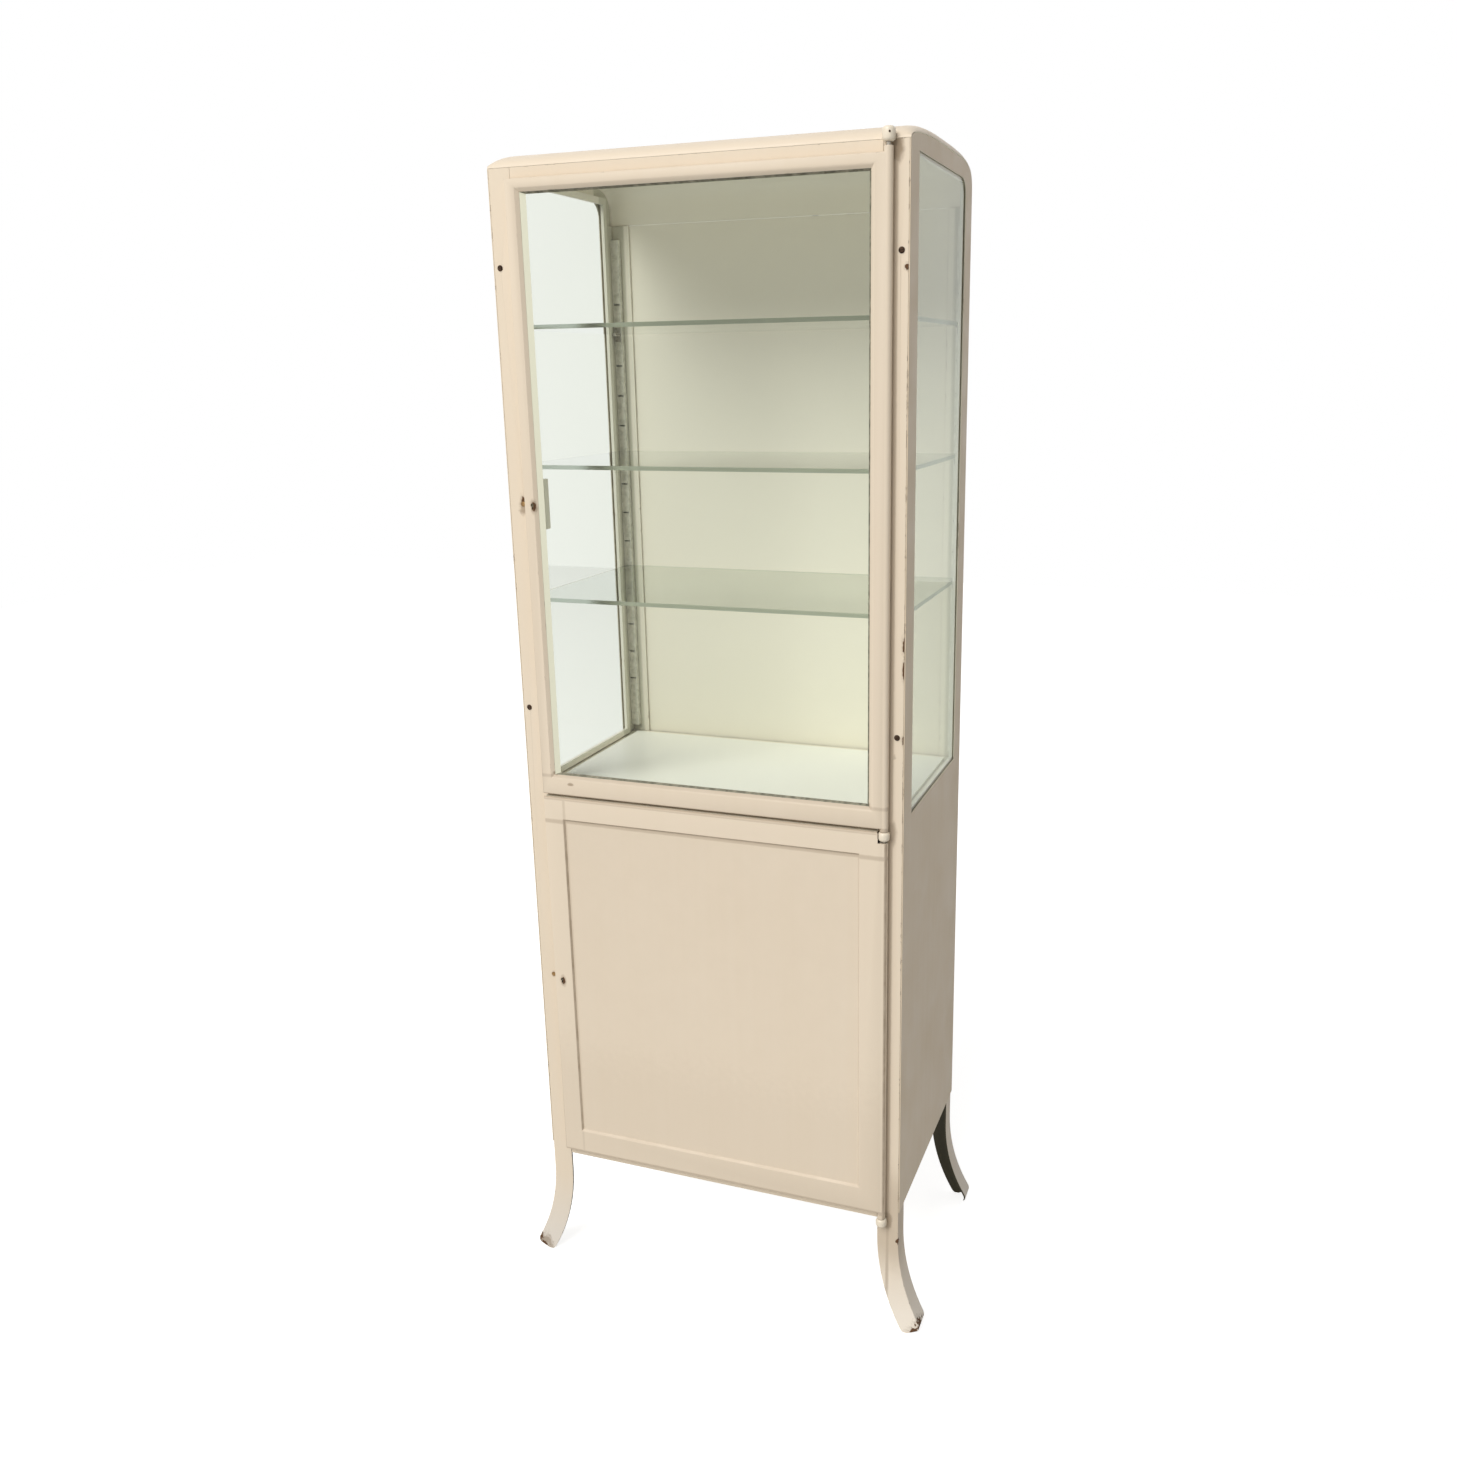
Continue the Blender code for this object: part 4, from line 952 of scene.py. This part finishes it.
@dataclass
class Doors:
    """The two doors and their locks."""

    soft_edge: float = 0.0006
    frame_fold: float = 0.0024
    field_fold: float = 0.0013
    fold_faces: int = 4
    front: float = -0.1906
    field_depth: float = 0.0035
    slack: float = 0.0002
    bend_angles: tuple[float, float] = (0.35, 1.2)
    shortest_bend: float = 0.3
    stile_edge: float = -0.2505
    roll_start: float = 0.262
    keyholes: tuple[Place, Place] = ((-0.2520, -0.1906, 1.2680), (-0.2520, -0.1906, 0.5165))

    def soften_pressing(self, mesh: bmesh.types.BMesh, width: float) -> None:
        """Rounds the long edges where the front of a door bends back to its glass or its field.

        Args:
            mesh: the door's mesh.
            width: how far the round reaches from each edge.
        """
        edges = []
        least, most = self.bend_angles
        for edge in mesh.edges:
            if len(edge.link_faces) != 2 or not least < edge.calc_face_angle(0.0) < most:
                continue
            one, other = (face.normal for face in edge.link_faces)
            depths = [vertex.co.y - self.front for vertex in edge.verts]
            bent = max(one.y, other.y) > -0.95 and min(one.y, other.y) < -0.99
            shallow = max(depths) < self.field_depth + self.slack
            long = edge.calc_length() > self.shortest_bend
            on_stile = max(vertex.co.x for vertex in edge.verts) < self.stile_edge
            on_roll = edge.verts[0].co.x >= self.roll_start
            if bent and shallow and long and not on_stile and not on_roll:
                edges.append(edge)
        log.info("softened %d bends of a door", len(edges))
        round_off(mesh, edges, width, self.fold_faces)

    def upper_coat(self, effects: SharedEffects) -> bpy.types.Material:
        """Makes the upper door's enamel, with its rubs and the painted shade along its lower edge and under
        its pane.

        Args:
            effects: the shared node groups.

        Returns:
            The finished material.
        """
        key = self.keyholes[0]
        key_chip = Spot(key, (0.0034, 0.004, 0.0070), 0.25)
        key_rub = Spot(key, (0.0036, 0.004, 0.0072), 0.4)
        left_corner = Spot((-0.2440, -0.1866, 0.8640), (0.0030, 0.003, 0.0026), 0.5)
        right_corner = Spot((0.2500, -0.1866, 0.8640), (0.0030, 0.003, 0.0026), 0.5)
        scratch = Spot((-0.2190, self.front, 0.8490), (0.0032, 0.003, 0.0018), 0.9)
        # painted shade along the door's lower edge and under the pane
        lower_edge_shade = Spot((0.0, self.front, 0.8290), (0.60, 0.004, 0.0022), 0.12, 0.34)
        pane_edge_shade = Spot((0.0, -0.1870, 0.8600), (0.60, 0.004, 0.0024), 0.12, 0.26)
        return Enamel("upper_door_enamel", pale=(0.765, 0.650, 0.508), warm=(0.730, 0.608, 0.452), wear=0.40,
                      chips=(key_chip,), stains_and_shades=(key_rub, left_corner, right_corner, scratch, lower_edge_shade,
                                                 pane_edge_shade)).make(effects)

    def lower_coat(self, effects: SharedEffects) -> bpy.types.Material:
        """Makes the lower door's enamel, with painted shade round its pressed field, along its upper and
        lower edges and towards its foot.

        Args:
            effects: the shared node groups.

        Returns:
            The finished material.
        """
        key = self.keyholes[1]
        slope = -0.1885
        key_chip = Spot(key, (0.0032, 0.004, 0.0062), 0.25)
        key_rub = Spot(key, (0.0034, 0.004, 0.0064), 0.4)
        # painted shade along the edges, painted shadows of the pressed field's rim, and shade towards the
        # foot
        upper_edge_shade = Spot((0.0, self.front, 0.8240), (0.60, 0.004, 0.0020), 0.12, 0.30)
        field_top_shadow = Spot((0.0, slope, 0.7865), (0.60, 0.004, 0.0026), 0.12, 0.30)
        field_left_shadow = Spot((-0.2330, slope, 0.519), (0.0018, 0.004, 0.60), 0.12, 0.20)
        lower_edge_shade = Spot((0.0, self.front, 0.2090), (0.60, 0.005, 0.0026), 0.12, 0.36)
        foot_shade = Spot((0.0, -0.1880, 0.2300), (0.90, 0.050, 0.130), 0.20, 0.09)
        return Enamel("lower_door_enamel", wear=0.34, streaks=0.35, groove_shade_depths=(-0.1903, -0.1870),
                      chips=(key_chip,), stains_and_shades=(key_rub, upper_edge_shade, field_top_shadow, field_left_shadow, lower_edge_shade,
                                                 foot_shade)).make(effects)

    def build(self, effects: SharedEffects) -> None:
        """Builds the doors from the frame's shapes, with softened edges.

        Args:
            effects: the shared node groups.
        """
        upper, lower = self.upper_coat(effects), self.lower_coat(effects)
        frame_mesh = copy_of("upper_door_frame")
        self.soften_pressing(frame_mesh, self.frame_fold)
        Part("pressed_upper_door", Body.UPPER_DOOR, Slot.ENAMEL, upper, ("upper_door_frame",),
             self.soft_edge).place(frame_mesh)
        panel_mesh = copy_of("lower_door_panel")
        self.soften_pressing(panel_mesh, self.field_fold)
        Part("pressed_lower_door", Body.LOWER_DOOR, Slot.ENAMEL, lower, ("lower_door_panel",),
             self.soft_edge).place(panel_mesh)
        dress("upper_door_bead", upper)
        dress("lower_door_liner", lower)
        # The lock cases take a paler coat than the doors: painted light against the shade behind the stile.
        case = Enamel("lock_case_coat", pale=(0.93, 0.91, 0.74), warm=(0.90, 0.87, 0.68),
                      inside=(0.94, 0.92, 0.77), wear=0.1, joint_shade_and_dirt=0.1).make(effects)
        dress("upper_lock_case", case)
        dress("lower_lock_case", case)


@dataclass
class Hinges:
    """Lug, knobs and pins on which the doors turn."""

    axis: tuple[float, float] = (0.2735, -0.1844)
    rivet_place: Place = (0.2762, -0.1919, 1.7330)
    rivet: float = 0.0017
    flatness: float = 0.45
    soft_edge: float = 0.0005

    def build(self, effects: SharedEffects) -> None:
        """Builds the knobs and the lug, and dresses the pins.

        Args:
            effects: the shared node groups.
        """
        knob = Enamel("knob_enamel", pale=(0.86, 0.77, 0.62), gloss=0.18, shine=0.5, wear=0.25,
                      joint_shade_and_dirt=0.8).make(effects)
        steel = Metal("greased_pin", (0.36, 0.33, 0.28), (0.10, 0.08, 0.06)).make(effects)
        dark = Metal("browned_rivet", (0.060, 0.040, 0.028), (0.03, 0.018, 0.012), gloss=0.45).make(effects)
        for node in ("bottom_hinge_knob", "middle_hinge_knob", "top_hinge_lug"):
            Part(f"turned_{node}", Body.CABINET, Slot.ENAMEL, knob, (node,),
                 self.soft_edge).place(copy_of(node))
        for node in ("bottom_hinge_pin", "middle_hinge_pin", "top_hinge_pin"):
            dress(node, steel)
        mesh = bmesh.new()
        bmesh.ops.create_uvsphere(mesh, u_segments=20, v_segments=12, radius=self.rivet)
        bmesh.ops.scale(mesh, vec=(1.0, self.flatness, 1.0), verts=mesh.verts)
        bmesh.ops.translate(mesh, vec=self.rivet_place, verts=mesh.verts)
        Part("lug_rivet", Body.CABINET, Slot.SCREW, dark).place(mesh)


@dataclass
class RailScrews:
    """Slotted screws through the front posts."""

    head: float = 0.0042
    taper: float = 0.72
    sides: int = 32
    height: float = 0.0016
    slot_half: float = 0.0005
    slot_depth: float = 0.0008
    soft_edge: float = 0.0002
    turns: dict[str, float] = field(default_factory=lambda: {
        "left_lower": 25.0, "left_upper": -35.0, "right_lower": 70.0, "right_upper": 10.0})

    def build(self, effects: SharedEffects) -> None:
        """Builds the four heads with their slots, each turned its own way.

        Args:
            effects: the shared node groups.
        """
        dark = Metal("browned_screw", (0.085, 0.055, 0.038), (0.030, 0.018, 0.012), gloss=0.42).make(effects)
        for label, degrees in self.turns.items():
            node = f"{label}_rail_screw"
            low, high = (Vector(corner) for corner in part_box(node))
            mesh = bmesh.new()
            bmesh.ops.create_cone(mesh, cap_ends=True, cap_tris=False, segments=self.sides,
                                  radius1=self.head, radius2=self.head * self.taper, depth=self.height)
            for side in (-1, 1):
                bmesh.ops.bisect_plane(mesh, geom=mesh.verts[:] + mesh.edges[:] + mesh.faces[:],
                                       plane_co=(0.0, side * self.slot_half, 0.0), plane_no=(0.0, 1.0, 0.0))
            strip = [face for face in mesh.faces
                     if face.normal.z > 0.9 and abs(face.calc_center_median().y) < self.slot_half]
            sunk = bmesh.ops.extrude_face_region(mesh, geom=strip)["geom"]
            bmesh.ops.delete(mesh, geom=strip, context="FACES_ONLY")
            bmesh.ops.translate(mesh, vec=(0.0, 0.0, -self.slot_depth),
                                verts=[item for item in sunk if isinstance(item, bmesh.types.BMVert)])
            upright = Matrix.Rotation(math.radians(90.0), 3, "X")
            turn = upright @ Matrix.Rotation(math.radians(degrees), 3, "Z")
            bmesh.ops.rotate(mesh, matrix=turn, verts=mesh.verts)
            middle = (low + high) / 2
            bmesh.ops.translate(mesh, vec=(middle.x, low.y + self.height / 2, middle.z), verts=mesh.verts)
            Part(f"slotted_{label}_screw", Body.CABINET, Slot.SCREW, dark, (node,),
                 self.soft_edge).place(mesh)


@dataclass
class ShelfFurniture:
    """Slotted rails, clips, strikes and bolts."""

    rail_paint: Metal = Metal("painted_rail", (0.84, 0.83, 0.72), (0.58, 0.58, 0.47), metallic=0.0,
                              gloss=0.42)
    clip_plate: Metal = Metal("dull_nickel", (0.52, 0.50, 0.44), (0.16, 0.14, 0.10), metallic=0.85)
    lock_brass: Metal = Metal("aged_brass", (0.36, 0.22, 0.09), (0.10, 0.055, 0.025), metallic=0.8,
                              gloss=0.42)

    def dress(self, effects: SharedEffects) -> None:
        """Dresses the small metal parts.

        Args:
            effects: the shared node groups.
        """
        rail = self.rail_paint.make(effects)
        clip = self.clip_plate.make(effects)
        brass = self.lock_brass.make(effects)
        for node in NODES:
            if node.endswith("shelf_rail"):
                dress(node, rail)
            elif node.endswith("_clip"):
                dress(node, clip)
            elif node.endswith("_strike") or node.endswith("_bolt"):
                dress(node, brass)


@dataclass
class Studio:
    """Floor, world, lamps and the camera that matches the photograph."""

    eye: Place = (0.7236, -1.8283, 1.4529)
    lens: float = 31.714
    shift: tuple[float, float] = (-0.03755, -0.01033)
    turn: Place = (1.8134, 0.3065, -0.2551)
    ambient: float = 0.31
    floor_size: float = 14.0
    floor_seen: float = 0.80
    floor_in_glass: float = 0.56
    floor_in_gloss: float = 0.40
    floor_colour: Colour = (0.66, 0.66, 0.65)
    lamp_place: Place = (-2.9, -8.6, 8.9)
    lamp_aim: Place = (0.0, 0.0, 0.9)
    lamp_size: float = 8.4
    lamp_power: float = 1260.0

    def place_camera(self) -> None:
        """Sets the camera at the photograph's viewpoint."""
        data = bpy.data.cameras.new("camera")
        data.sensor_width = 36.0
        data.lens = self.lens
        data.shift_x, data.shift_y = self.shift
        data.dof.use_dof = False
        data.clip_end = 60.0
        turn = Vector(self.turn)
        world_to_view = Matrix.Rotation(turn.length, 3, turn.normalized())
        right, down, ahead = world_to_view
        camera = bpy.data.objects.new("camera", data)
        camera.matrix_world = Matrix.LocRotScale(
            Vector(self.eye), Matrix((right, -down, -ahead)).transposed().to_quaternion(), None)
        bpy.context.scene.collection.objects.link(camera)
        bpy.context.scene.camera = camera

    def make_world(self) -> None:
        """White surroundings, at a plain level as a light."""
        world = bpy.data.worlds.new("studio")
        bpy.context.scene.world = world
        world.use_nodes = True
        graph = Graph(world.node_tree)
        back = world.node_tree.nodes["Background"]
        back.inputs["Color"].default_value = (1.0, 1.0, 1.0, 1.0)
        rays = graph.add("LightPath")
        sharp = graph.calc("LESS_THAN", rays.outputs["Diffuse Depth"], 0.5)
        seen = graph.calc("MAXIMUM", rays.outputs["Is Glossy Ray"], rays.outputs["Is Transmission Ray"])
        seen = graph.calc("MAXIMUM", rays.outputs["Is Camera Ray"], graph.calc("MULTIPLY", seen, sharp))
        graph.feed(back.inputs["Strength"], graph.spread(seen, 0.0, 1.0, self.ambient, 1.0))

    def make_floor(self) -> None:
        """White floor that keeps the cabinet's soft shadow."""
        sheet = bmesh.new()
        bmesh.ops.create_grid(sheet, x_segments=1, y_segments=1, size=self.floor_size / 2)
        data = bpy.data.meshes.new("studio_floor")
        sheet.to_mesh(data)
        sheet.free()
        floor = bpy.data.objects.new("studio_floor", data)
        bpy.context.scene.collection.objects.link(floor)
        material, graph, shader = start_material("studio_white")
        shader.inputs["Base Color"].default_value = (*self.floor_colour, 1.0)
        shader.inputs["Roughness"].default_value = 1.0
        shader.inputs["Specular IOR Level"].default_value = 0.0
        rays = graph.add("LightPath")
        sharp = graph.calc("LESS_THAN", rays.outputs["Diffuse Depth"], 0.5)
        mirrored = graph.calc("MULTIPLY", rays.outputs["Is Glossy Ray"], self.floor_in_gloss)
        through = graph.calc("MULTIPLY", rays.outputs["Is Transmission Ray"], self.floor_in_glass)
        direct = graph.calc("MULTIPLY", rays.outputs["Is Camera Ray"], self.floor_seen)
        seen = graph.calc("MAXIMUM", direct, graph.calc("MAXIMUM", through, mirrored))
        seen = graph.calc("MULTIPLY", seen, sharp)
        shader.inputs["Emission Color"].default_value = (1.0, 1.0, 1.0, 1.0)
        graph.feed(shader.inputs["Emission Strength"], seen)
        data.materials.append(material)

    def hang_lamp(self) -> None:
        """Hangs the square soft lamp at the front, above and to the left."""
        data = bpy.data.lights.new("key_lamp", "AREA")
        data.shape = "SQUARE"
        data.size = self.lamp_size
        data.energy = self.lamp_power
        lamp = bpy.data.objects.new("key_lamp", data)
        away = Vector(self.lamp_place) - Vector(self.lamp_aim)
        turn = away.to_track_quat("Z", "Y").to_matrix().to_4x4()
        lamp.matrix_world = Matrix.Translation(self.lamp_place) @ turn
        bpy.context.scene.collection.objects.link(lamp)

    def build(self) -> None:
        """Sets up the whole studio."""
        self.place_camera()
        self.make_world()
        self.make_floor()
        self.hang_lamp()
        scene = bpy.context.scene
        scene.view_settings.view_transform = "Standard"
        log.info("studio ready")


def main() -> None:
    """Builds the looks of the cabinet and its studio."""
    logging.basicConfig(level=logging.INFO, format="%(name)s: %(message)s")
    Studio().build()
    effects = SharedEffects()
    Carcase().build(effects)
    Glazing().build(effects)
    Doors().build(effects)
    Hinges().build(effects)
    RailScrews().build(effects)
    ShelfFurniture().dress(effects)


if __name__ == "__main__":
    main()
